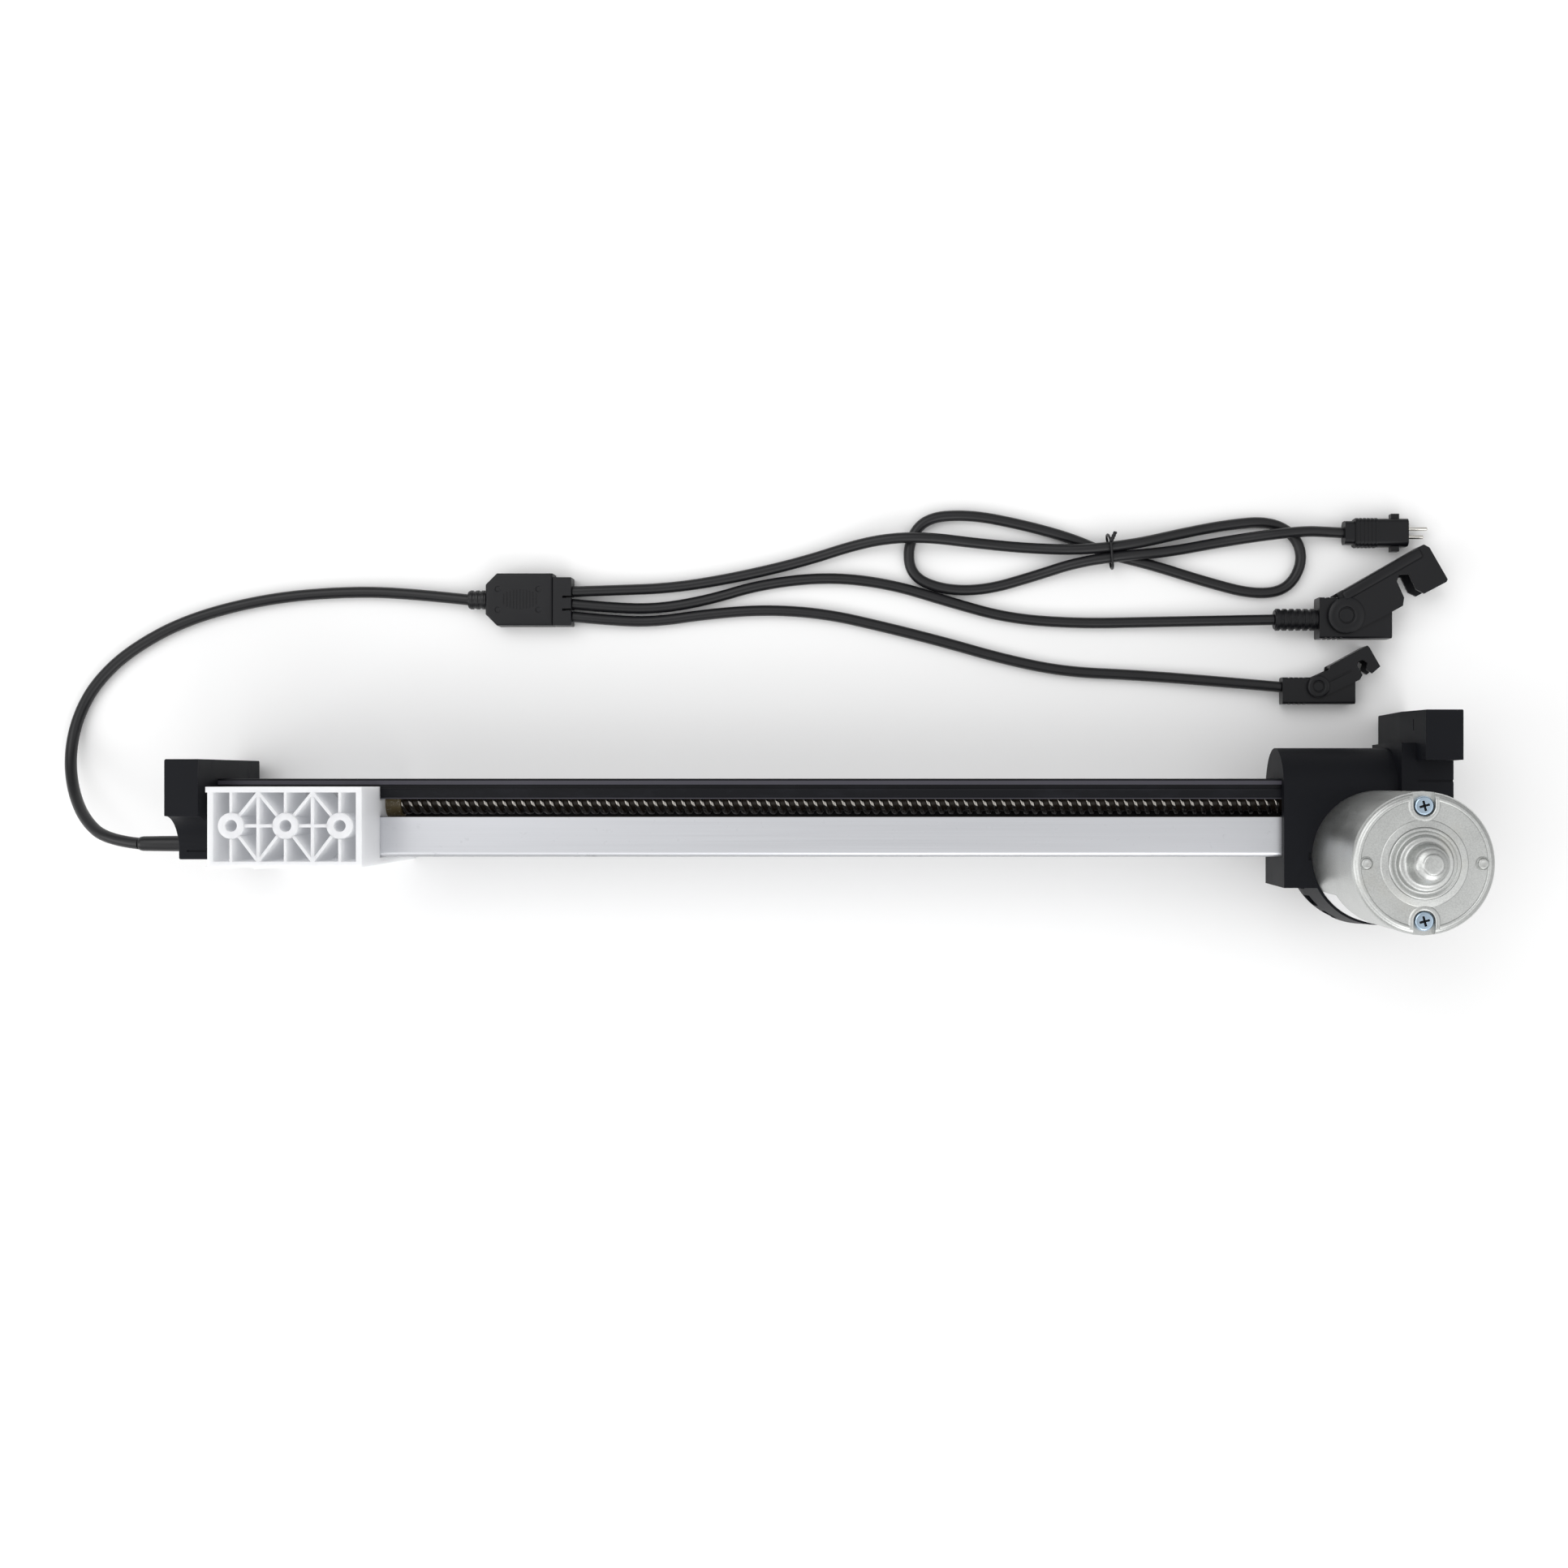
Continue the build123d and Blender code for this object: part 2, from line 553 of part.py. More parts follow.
worm_core_r = worm_r - thread_root
worm_z0 = axis_z - worm_turns / 2 * worm_pitch - worm_pitch / 4
shaft_z0, shaft_z1 = 8.6, can_z1 + dome_height - 3.4
with BuildPart() as motor_shaft:
    with Locations((motor_x, motor_y, shaft_z0)):
        Cylinder(3.0, shaft_z1 - shaft_z0, align=(Align.CENTER, Align.CENTER, Align.MIN))
    with Locations((motor_x, motor_y, axis_z)):
        Cylinder(worm_core_r, worm_turns * worm_pitch + 3)
    with BuildLine() as thread_path:
        Helix(worm_pitch, worm_turns * worm_pitch, worm_core_r, center=(motor_x, motor_y, worm_z0))
    with BuildSketch(Plane(thread_path.line @ 0, x_dir=(1, 0, 0), z_dir=thread_path.line % 0)):
        root_half = thread_thickness / 2 + thread_root * flank
        tip_half = thread_thickness / 2 - thread_height * flank
        reach = thread_root + thread_height
        Polygon((-0.3, -root_half), (reach, -tip_half), (reach, tip_half), (-0.3, root_half), align=None)
    sweep(is_frenet=True)
motor_shaft.part.label = "motor_shaft"
export_step(motor_shaft.part, "parts/motor_shaft.step")

with BuildPart() as worm_end_bush:
    with Locations((motor_x, motor_y, 8.1)):
        Cylinder(5.0, 7.0, align=(Align.CENTER, Align.CENTER, Align.MIN))
    with Locations((motor_x, motor_y, 8.0)):
        Cylinder(3.0 + running_gap, 9.0, align=(Align.CENTER, Align.CENTER, Align.MIN), mode=Mode.SUBTRACT)
worm_end_bush.part.label = "worm_end_bush"
export_step(worm_end_bush.part, "parts/worm_end_bush.step")

# ---- motor ---------------------------------------------------------------------------------
can_inner_r = can_r - can_wall
recess_half = 4.2
recess_floor_z = can_z1 - 2.3
screw_spots = [(motor_x, motor_y - screw_pitch_r), (motor_x, motor_y + screw_pitch_r)]
rivet_spots = [(motor_x - rivet_pitch_r, motor_y), (motor_x + rivet_pitch_r, motor_y)]


def recess_sketch(half, spread):
    """Both screw recesses: round towards the axis and open to the rim. Call inside a sketch."""
    for side in (-1, 1):
        with Locations((motor_x, motor_y + side * screw_pitch_r)):
            Circle(half)
        with Locations((motor_x, motor_y + side * (screw_pitch_r + spread / 2))):
            Rectangle(2 * half, spread)


with BuildPart() as motor_can:
    with Locations((motor_x, motor_y, can_z0)):
        Cylinder(can_r, can_z1 - can_z0, align=(Align.CENTER, Align.CENTER, Align.MIN))
    fillet(motor_can.edges().group_by(Axis.Z)[-1], 2.3)
    with Locations((motor_x, motor_y, can_z0)):
        Cylinder(can_inner_r, can_z1 - can_z0 - can_wall, align=(Align.CENTER, Align.CENTER, Align.MIN),
                 mode=Mode.SUBTRACT)
    # recesses pressed into the closed end for the two long screws
    with BuildSketch(Plane.XY.offset(recess_floor_z - can_wall)):
        recess_sketch(recess_half + can_wall, can_inner_r - screw_pitch_r + 0.3)
    extrude(amount=can_z1 - recess_floor_z)
    with BuildSketch(Plane.XY.offset(recess_floor_z)):
        recess_sketch(recess_half, 8)
    extrude(amount=8, mode=Mode.SUBTRACT)
    with Locations(*[(*spot, can_z1) for spot in screw_spots]):
        Cylinder(2.05, 20, mode=Mode.SUBTRACT)
    with Locations(*[(*spot, can_z1) for spot in rivet_spots]):
        Cylinder(1.4, 8, mode=Mode.SUBTRACT)
    with Locations((motor_x, motor_y, can_z1)):
        Cylinder(9.2, 8, mode=Mode.SUBTRACT)
motor_can.part.label = "motor_can"
export_step(motor_can.part, "parts/motor_can.step")

# stepped cap over the shaft's end bearing, drawn from one sheet
with BuildPart() as bearing_cap:
    with BuildSketch(Plane.XZ.offset(-motor_y)):
        with BuildLine():
            base = can_z1 + 0.03
            Polyline(
                (motor_x + 12.7, base),
                (motor_x + 12.7, base + 0.5),
                (motor_x + 12.2, base + 1.0),
                (motor_x + 10.9, base + 1.0),
                (motor_x + 10.4, base + 2.8),
                (motor_x + 9.6, base + 3.4),
                (motor_x + 8.2, base + 3.7),
                (motor_x + 7.2, base + 5.0),
                (motor_x + 6.9, base + 9.0),
                (motor_x + 5.9, base + 10.8),
                (motor_x + 3.9, base + dome_height - 0.1),
                (motor_x, base + dome_height - 0.1),
                (motor_x, base + dome_height - 1.3),
                (motor_x + 3.6, base + dome_height - 1.3),
                (motor_x + 5.3, base + 9.0),
                (motor_x + 5.6, base + 3.0),
                (motor_x + 8.6, base + 1.6),
                (motor_x + 9.1, base),
                close=True,
            )
        make_face()
    revolve(axis=Axis((motor_x, motor_y, 0), (0, 0, 1)))
bearing_cap.part.label = "bearing_cap"
export_step(bearing_cap.part, "parts/bearing_cap.step")

with BuildPart() as cap_bush:
    with Locations((motor_x, motor_y, can_z1 + 3.4)):
        Cylinder(5.0, 5.6, align=(Align.CENTER, Align.CENTER, Align.MIN))
        Cylinder(3.0 + running_gap, 5.6, align=(Align.CENTER, Align.CENTER, Align.MIN), mode=Mode.SUBTRACT)
cap_bush.part.label = "cap_bush"
export_step(cap_bush.part, "parts/cap_bush.step")

with BuildPart() as motor_rivets:
    with Locations(*[(*spot, can_z1 + 0.03) for spot in rivet_spots]):
        Cylinder(2.25, 1.2, align=(Align.CENTER, Align.CENTER, Align.MIN))
    fillet(motor_rivets.edges().group_by(Axis.Z)[-1], 0.5)
    with Locations(*[(*spot, can_z1 - 2.4) for spot in rivet_spots]):
        Cylinder(1.35, 3, align=(Align.CENTER, Align.CENTER, Align.MIN))
motor_rivets.part.label = "motor_rivets"
export_step(motor_rivets.part, "parts/motor_rivets.step")

with BuildPart() as motor_screws:
    with Locations(*[(*spot, recess_floor_z + 0.03) for spot in screw_spots]):
        Cylinder(3.8, 2.5, align=(Align.CENTER, Align.CENTER, Align.MIN))
    fillet(motor_screws.edges().group_by(Axis.Z)[-1], 1.0)
    with BuildSketch(Plane.XY.offset(recess_floor_z + 2.6)):
        with Locations(*screw_spots):
            Rectangle(4.0, 0.9, rotation=15)
            Rectangle(0.9, 4.0, rotation=15)
    extrude(amount=-1.5, mode=Mode.SUBTRACT)
    with Locations(*[(*spot, can_z0 + 1.0) for spot in screw_spots]):
        Cylinder(2.0, recess_floor_z - can_z0 - 0.9, align=(Align.CENTER, Align.CENTER, Align.MIN))
motor_screws.part.label = "motor_screws"
export_step(motor_screws.part, "parts/motor_screws.step")

base_z1 = can_z0 + 3.0
with BuildPart() as motor_base_plate:
    with Locations((motor_x, motor_y, can_z0 + 0.05)):
        Cylinder(can_inner_r - 0.05, 2.95, align=(Align.CENTER, Align.CENTER, Align.MIN))
        Cylinder(6.0, 5.0, align=(Align.CENTER, Align.CENTER, Align.MIN))
        Cylinder(3.0 + running_gap, 9, mode=Mode.SUBTRACT, align=(Align.CENTER, Align.CENTER, Align.MIN))
    with Locations(*[(*spot, can_z0) for spot in wire_rise]):
        Cylinder(1.6, 10, mode=Mode.SUBTRACT)
    with Locations(*[(*spot, can_z0) for spot in screw_spots]):
        Cylinder(2.02, 10, mode=Mode.SUBTRACT)
motor_base_plate.part.label = "motor_base_plate"
export_step(motor_base_plate.part, "parts/motor_base_plate.step")

magnet_z0, magnet_z1 = can_z0 + 17.0, can_z1 - 7.0
with BuildPart() as motor_magnets:
    with BuildSketch(Plane.XY.offset(magnet_z0)):
        with Locations(motor_spot):
            Circle(can_inner_r - 0.05)
            Circle(20.4, mode=Mode.SUBTRACT)
            Rectangle(26, 60, mode=Mode.SUBTRACT)
    extrude(amount=magnet_z1 - magnet_z0)
motor_magnets.part.label = "motor_magnets"
export_step(motor_magnets.part, "parts/motor_magnets.step")

core_z0, core_z1 = magnet_z0 + 4.0, magnet_z1 - 4.0
with BuildPart() as armature_core:
    with BuildSketch(Plane.XY.offset(core_z0)):
        with Locations(motor_spot):
            Circle(19.6)
            with PolarLocations(18.9, 12):
                Rectangle(3.0, 1.8, mode=Mode.SUBTRACT)
            with PolarLocations(14.0, 12):
                SlotOverall(8.4, 3.6, mode=Mode.SUBTRACT)
            Circle(3.0, mode=Mode.SUBTRACT)
    extrude(amount=core_z1 - core_z0)
armature_core.part.label = "armature_core"
export_step(armature_core.part, "parts/armature_core.step")

with BuildPart() as armature_windings:
    for z in (core_z0 - 5.6, core_z1 + 0.1):
        with Locations((motor_x, motor_y, z)):
            Cylinder(17.5, 5.5, align=(Align.CENTER, Align.CENTER, Align.MIN))
    fillet(armature_windings.edges().filter_by(GeomType.CIRCLE), 1.8)
    with Locations((motor_x, motor_y, core_z0 - 6)):
        Cylinder(5.0, 60, align=(Align.CENTER, Align.CENTER, Align.MIN), mode=Mode.SUBTRACT)
armature_windings.part.label = "armature_windings"
export_step(armature_windings.part, "parts/armature_windings.step")

commutator_r = 8.0
with BuildPart() as commutator:
    with BuildSketch(Plane.XY.offset(can_z0 + 6.0)):
        with Locations(motor_spot):
            Circle(commutator_r)
            Circle(3.0, mode=Mode.SUBTRACT)
            with PolarLocations(commutator_r, 12):
                Rectangle(1.6, 0.5, mode=Mode.SUBTRACT)
    extrude(amount=8.4)
commutator.part.label = "commutator"
export_step(commutator.part, "parts/commutator.step")

brush_z = can_z0 + 10.0
with BuildPart() as brush_holder:
    with Locations((motor_x, motor_y, base_z1 + 0.1)):
        Cylinder(can_inner_r - 0.4, 1.8, align=(Align.CENTER, Align.CENTER, Align.MIN))
        Cylinder(9.0, 6, mode=Mode.SUBTRACT, align=(Align.CENTER, Align.CENTER, Align.MIN))
    for side in (-1, 1):
        with Locations((motor_x + side * 16.5, motor_y, base_z1 + 1.5)):
            Box(13.0, 7.4, 9.0, align=(Align.CENTER, Align.CENTER, Align.MIN))
        with Locations((motor_x + side * 16.0, motor_y, brush_z)):
            Box(15.0, 5.1, 5.1, mode=Mode.SUBTRACT)
    with Locations(*[(*spot, can_z0) for spot in screw_spots]):
        Cylinder(2.3, 20, mode=Mode.SUBTRACT)
    with Locations(*[(*spot, can_z0) for spot in wire_rise]):
        Cylinder(1.3, 30, mode=Mode.SUBTRACT)
brush_holder.part.label = "brush_holder"
export_step(brush_holder.part, "parts/brush_holder.step")

with BuildPart() as brushes:
    for side in (-1, 1):
        with Locations((motor_x + side * (commutator_r + 0.05 + 4.5), motor_y, brush_z)):
            Box(9.0, 5.0, 5.0)
brushes.part.label = "brushes"
export_step(brushes.part, "parts/brushes.step")


# ---- cords ---------------------------------------------------------------------------------
def corner_radii(points):
    """The largest arc for each corner: 0.45 of its shorter run over the tangent of half its turn."""
    radii = []
    for before, corner, after in zip(points, points[1:], points[2:]):
        run_in = Vector(*corner) - Vector(*before)
        run_out = Vector(*after) - Vector(*corner)
        half_turn = math.radians(run_in.get_angle(run_out)) / 2
        radii.append(0.45 * min(run_in.length, run_out.length) / math.tan(half_turn))
    return radii


# routes of the free cords, from the object outwards
main_route = [
    (left - boot_length, boot_y, axis_z), (-305, -9.4, 36.6), (-319, -1.2, 27.2), (-330, 12, 15),
    (-335.5, 28, 6), (-333.5, 45, lie_z), (-325, 60.5, lie_z), (-309.5, 75, lie_z), (-284, 88.8, lie_z),
    (-248, 98, lie_z), (-212, 101, lie_z), (-184, 100, 3.4), (-157.4, 97, plug_z),
]
lead_a_route = [
    (-111, 100.7, plug_z), (-93, 101.4, 3.5), (-68, 102.4, lie_z), (-41, 106.6, lie_z), (-9, 114, lie_z),
    (17, 122.2, 3.6), (38, 124, 7),
]
lead_a_tail = [(214, 126.4, 7.4), (224, 127.9, 5.4), (233.6, 127, plug_z)]
lead_b_route = [
    (-111, 95.1, plug_z), (-94, 93.6, 3.5), (-74, 93.1, lie_z), (-51, 97, lie_z), (-27, 104.2, lie_z),
    (3, 107.6, lie_z), (31, 104.4, lie_z), (57, 96.4, lie_z), (84, 88.9, lie_z), (115, 86.6, lie_z),
    (149, 87.2, 3.6), (177, 87.6, 5.4), (202, 87.9, 7),
]
lead_c_route = [
    (-111, 89.5, plug_z), (-94, 87.9, 3.5), (-75, 87.3, lie_z), (-50, 91, lie_z), (-24, 92.9, lie_z),
    (2, 91, lie_z), (27, 85.4, lie_z), (54, 78.6, lie_z), (82, 70.6, lie_z), (109, 65, lie_z),
    (141, 63.5, lie_z), (174, 60.9, 3.8), (205.4, 58, 5.2),
]
cords = {
    "main_cable": (main_route, main_d),
    "lead_a": (lead_a_route, lead_d),
    "lead_a_tail": (lead_a_tail, lead_d),
    "lead_b": (lead_b_route, lead_d),
    "lead_c": (lead_c_route, lead_d),
}
for name, (route, diameter) in cords.items():
    with BuildPart() as cord:
        with BuildLine() as path:
            FilletPolyline(*route, radius=corner_radii(route))
        with BuildSketch(Plane(path.line @ 0, z_dir=path.line % 0)):
            Circle(diameter / 2)
        sweep()
    cord_length = sum(edge.length for edge in path.edges())
    fullness = cord.part.volume / (math.pi * diameter**2 / 4 * cord_length)
    print(f"{name}: length {cord_length:.0f} mm, volume {fullness:.4f} of section x length, radii",
          [round(radius) for radius in corner_radii(route)])
    cord.part.label = name
    export_step(cord.part, f"parts/{name}.step")

with BuildPart() as cable_boot:
    with BuildSketch(plan_yz(left - 0.02)):
        with Locations((boot_y, axis_z)):
            Circle(boot_r)
    extrude(amount=-boot_length + 0.05)
cable_boot.part.label = "cable_boot"
export_step(cable_boot.part, "parts/cable_boot.step")

# splitter: a ribbed sleeve, a flat body and a comb from which the three leads come out
splitter_top = 9.1
with BuildPart() as splitter_sleeve:
    with BuildSketch(plan_yz(-157.35)):
        with Locations((97.0, plug_z)):
            Circle(3.9)
    extrude(amount=8.0)
    for i in range(3):
        with BuildSketch(plan_yz(-156.6 + i * 2.6)):
            with Locations((97.0, plug_z)):
                Circle(4.25)
        extrude(amount=1.3)
splitter_sleeve.part.label = "splitter_sleeve"
export_step(splitter_sleeve.part, "parts/splitter_sleeve.step")

with BuildPart() as splitter_body:
    with BuildSketch(Plane.XY.offset(0.2)) as splitter_plan:
        with Locations((-134.3, 96.85)):
            Rectangle(29.9, 23.3)
        chamfer(splitter_plan.vertices().group_by(Axis.X)[0], 5.0)
    extrude(amount=splitter_top - 0.2)
    fillet(splitter_body.edges().group_by(Axis.Z)[-1], 1.2)
    with Locations(*[(x, y, splitter_top) for x in (-143.7, -125.6) for y in (101.4, 92.2)]):
        Cylinder(1.2, 0.8, mode=Mode.SUBTRACT)
splitter_body.part.label = "splitter_body"
export_step(splitter_body.part, "parts/splitter_body.step")

with BuildPart() as splitter_comb:
    with Locations((-115.2, 96.0, 0.4)):
        Box(8.2, 21.5, 8.2, align=(Align.CENTER, Align.CENTER, Align.MIN))
    for y in (98.0, 92.3):
        with Locations((-113.0, y, 0.4)):
            Box(4.0, 0.9, 8.2, align=(Align.CENTER, Align.CENTER, Align.MIN), mode=Mode.SUBTRACT)
splitter_comb.part.label = "splitter_comb"
export_step(splitter_comb.part, "parts/splitter_comb.step")

# the spare length of lead A is wound in two flat loops that a tie holds at the waist
tie_x, tie_y = 129.0, 119.3
hank_z0, hank_z1 = 0.8, 10.4
with BuildPart() as lead_a_hank:
    with BuildSketch(Plane.XY.offset(hank_z0)) as hank_plan:
        with BuildLine():
            FilletPolyline(
                (38, 110), (49, 103.4), (68, 101), (104, 107.4), (tie_x, 111.6), (153, 108.5), (196, 97.6),
                (212, 103), (217.6, 117), (214, 129.6), (194, 134), (176, 132.5), (tie_x, 125.4),
                (106, 129.6), (70, 137), (48, 134), (38, 129), radius=3.0, close=True,
            )
        make_face()
    extrude(amount=hank_z1 - hank_z0)
    fillet(lead_a_hank.edges().group_by(Axis.Z)[-1], 1.5)
lead_a_hank.part.label = "lead_a_hank"
export_step(lead_a_hank.part, "parts/lead_a_hank.step")

with BuildPart() as cable_tie:
    with BuildSketch(plan_yz(tie_x - 1.6)):
        with Locations((118.5, (hank_z0 + hank_z1) / 2)):
            RectangleRounded(16.2, hank_z1 - hank_z0 + 1.4, 2.6)
            RectangleRounded(14.4, hank_z1 - hank_z0 + 0.1, 1.5, mode=Mode.SUBTRACT)
    extrude(amount=3.2)
    # the twisted ends stand on top
    with Locations((tie_x, 120.5, hank_z1 + 1.4)):
        Box(3.6, 6.0, 2.0)
cable_tie.part.label = "cable_tie"
export_step(cable_tie.part, "parts/cable_tie.step")

# ---- plug of lead A ------------------------------------------------------------------------
plug_x0, plug_y = 233.7, 126.9
with BuildPart() as plug_a_body:
    with BuildSketch(plan_yz(plug_x0)):
        with Locations((plug_y, plug_z)):
            RectangleRounded(10.4, 7.4, 2.4)
    extrude(amount=5.0)
    with BuildSketch(plan_yz(plug_x0 + 4.5)):
        with Locations((plug_y, plug_z)):
            RectangleRounded(12.4, 8.6, 2.6)
    extrude(amount=23.6)
    # grip ribs behind the head, and the two lugs that a latch hooks over
    for i in range(6):
        with BuildSketch(plan_yz(plug_x0 + 5.0 + i * 1.7)):
            with Locations((plug_y, plug_z)):
                RectangleRounded(13.0, 9.0, 2.8)
        extrude(amount=0.9)
    for side in (-1, 1):
        with Locations((plug_x0 + 22.6, plug_y + side * 7.2, plug_z)):
            Box(3.6, 2.4, 4.0)
plug_a_body.part.label = "plug_a_body"
export_step(plug_a_body.part, "parts/plug_a_body.step")

with BuildPart() as plug_a_pins:
    for y, reach in ((plug_y + 1.85, 9.3), (plug_y - 1.85, 7.6)):
        with BuildSketch(plan_yz(plug_x0 + 28.15)):
            with Locations((y, plug_z)):
                Circle(0.85)
        extrude(amount=reach)
    chamfer(plug_a_pins.edges().filter_by(GeomType.CIRCLE).filter_by(lambda edge: edge.center().X > 267), 0.3)
plug_a_pins.part.label = "plug_a_pins"
export_step(plug_a_pins.part, "parts/plug_a_pins.step")


# ---- latching sockets of leads B and C -----------------------------------------------------
def arm_points(outline, spot):
    """An outline about the hinge, moved to where the hinge stands."""
    return [(spot[0] + x, spot[1] + y) for x, y in outline]


sockets = {
    "b": {
        "hinge": (232.8, 89.3),
        "body": (221.2, 253.4, 79.3, 97.5),  # x0, x1, y0, y1
        "middle_z": 7.0,
        "body_half": 5.2,
        "plate": 1.4,
        "disc_r": 8.2,
        "pin_r": 3.2,
        "sleeve": (202.1, 87.9, 4.3, 4.9, 6),  # x, y, core radius, ring radius, rings
        "arm": [(-3.9, 9.5), (34.1, 31.3), (36.6, 30.0), (44.7, 15.9), (44.1, 14.7), (34.4, 9.6),
                (30.8, 11.4), (27.6, 18.1), (23.3, 18.1), (22.2, 15.0), (25.4, 7.8), (24.9, 4.2),
                (19.5, 1.2), (2.6, -7.6)],
        "web": [(1.0, 10.7), (34.1, 29.7), (34.1, 31.3), (1.0, 12.3)],
        "bridge": [(34.1, 29.6), (35.2, 27.6), (42.8, 15.6), (44.1, 14.9), (44.7, 15.9), (36.6, 30.0),
                   (34.1, 31.3)],
    },
    "c": {
        "hinge": (221.4, 57.9),
        "body": (205.6, 238.0, 50.3, 62.2),
        "middle_z": 5.2,
        "body_half": 3.6,
        "plate": 1.1,
        "disc_r": 5.0,
        "pin_r": 2.2,
        "sleeve": None,
        "arm": [(-1.9, 4.6), (4.6, 7.5), (4.9, 9.3), (21.6, 18.3), (22.5, 17.4), (27.3, 9.0), (23.7, 5.9),
                (21.0, 7.7), (21.6, 10.6), (19.6, 12.1), (17.4, 11.0), (17.1, 9.5), (19.4, 5.2),
                (18.2, 3.1), (2.7, -4.2)],
        "web": [(5.4, 8.4), (21.6, 17.1), (21.6, 18.3), (5.4, 9.6)],
        "bridge": [(21.6, 17.1), (26.0, 9.3), (27.3, 9.0), (22.5, 17.4), (21.6, 18.3)],
    },
}
for letter, size in sockets.items():
    hinge_x, hinge_y = size["hinge"]
    x0, x1, y0, y1 = size["body"]
    middle_z, half = size["middle_z"], size["body_half"]
    body_y = (y0 + y1) / 2
    with BuildPart() as socket_body:
        with BuildSketch(plan_yz(x0)) as socket_face:
            with Locations((body_y, middle_z)):
                RectangleRounded(y1 - y0, 2 * half, 1.2)
        extrude(amount=x1 - x0)
        # grip grooves near the cord's end, on both sides
        for i in range(4):
            for y in (y0, y1):
                with Locations((x0 + 3.0 + i * 2.2, y, middle_z)):
                    Box(1.0, 0.9, 2 * half + 1, mode=Mode.SUBTRACT)
        # the two round sockets that take a plug's pins
        with BuildSketch(plan_yz(x1)):
            with Locations((body_y - 2.6, middle_z), (body_y + 2.6, middle_z)):
                Circle(2.05)
        extrude(amount=-11, mode=Mode.SUBTRACT)
        # cross hole of the latch's hinge pin
        with Locations((hinge_x, hinge_y, middle_z)):
            Cylinder(size["pin_r"], 2 * half + 2, mode=Mode.SUBTRACT)
    socket_body.part.label = f"socket_{letter}_body"
    export_step(socket_body.part, f"parts/socket_{letter}_body.step")

    with BuildPart() as contacts:
        with BuildSketch(plan_yz(x1 - 10.9)):
            with Locations((body_y - 2.6, middle_z), (body_y + 2.6, middle_z)):
                Circle(2.0)
                Circle(0.95, mode=Mode.SUBTRACT)
        extrude(amount=9.0)
    contacts.part.label = f"socket_{letter}_contacts"
    export_step(contacts.part, f"parts/socket_{letter}_contacts.step")

    with BuildPart() as hinge_pin:
        with Locations((hinge_x, hinge_y, middle_z)):
            Cylinder(size["pin_r"], 2 * (half + 0.3 + size["plate"]) + 0.1)
        fillet(hinge_pin.edges().filter_by(GeomType.CIRCLE), 0.3)
    hinge_pin.part.label = f"socket_{letter}_pin"
    export_step(hinge_pin.part, f"parts/socket_{letter}_pin.step")

    # the latch straddles the body: one plate above, one below, joined by a web and a bridge
    with BuildPart() as latch:
        for side in (-1, 1):
            with BuildSketch(Plane.XY.offset(middle_z + side * (half + 0.3))):
                with BuildLine():
                    Polyline(*arm_points(size["arm"], size["hinge"]), close=True)
                make_face()
                with Locations(size["hinge"]):
                    Circle(size["disc_r"])
                    Circle(size["pin_r"] + running_gap, mode=Mode.SUBTRACT)
            extrude(amount=side * size["plate"])
        for outline in (size["web"], size["bridge"]):
            with BuildSketch(Plane.XY.offset(middle_z - half - 0.4)):
                with BuildLine():
                    Polyline(*arm_points(outline, size["hinge"]), close=True)
                make_face()
            extrude(amount=2 * half + 0.8)
    latch.part.label = f"socket_{letter}_latch"
    export_step(latch.part, f"parts/socket_{letter}_latch.step")

sleeve_x, sleeve_y, core_r, ring_r, rings = sockets["b"]["sleeve"]
with BuildPart() as socket_b_sleeve:
    with BuildSketch(plan_yz(sleeve_x)):
        with Locations((sleeve_y, sockets["b"]["middle_z"])):
            Circle(core_r)
    extrude(amount=sockets["b"]["body"][0] - sleeve_x - 0.02)
    for i in range(rings):
        with BuildSketch(plan_yz(sleeve_x + 0.6 + i * 3.1)):
            with Locations((sleeve_y, sockets["b"]["middle_z"])):
                Circle(ring_r)
        extrude(amount=1.7)
socket_b_sleeve.part.label = "socket_b_sleeve"
export_step(socket_b_sleeve.part, "parts/socket_b_sleeve.step")

# ---- wires held inside the object: from the cable's end along the strip to the brushes -------
with BuildPart() as motor_wires:
    for side, (rise_x, rise_y) in zip((1, -1), wire_rise):
        wire_route = [
            (left + 1.0, boot_y, axis_z + side * 1.15),
            (left + 7.5, boot_y, axis_z + side * 1.3),
            (left + 11.5, -4.0, axis_z + side * 9.2),
            (left + 12.5, 6.0, axis_z + side * 9.9),
            (left + 17.0, wire_y, axis_z + side * wire_side),
            (213.0, wire_y, axis_z + side * (wire_side - 0.1)),
            (rise_x, 7.5, axis_z + side * 9.0),
            (rise_x - 0.2, rise_y + 1.0, 47.0),
            (rise_x, rise_y, 66.0),
        ]
        with BuildLine() as wire_path:
            FilletPolyline(*wire_route, radius=[min(3.0, radius) for radius in corner_radii(wire_route)])
        with BuildSketch(Plane(wire_path.line @ 0, z_dir=wire_path.line % 0)):
            Circle(0.9)
        sweep()
motor_wires.part.label = "motor_wires"
export_step(motor_wires.part, "parts/motor_wires.step")
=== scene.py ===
import json
import math

import bmesh
import bpy
from mathutils import Matrix, Vector


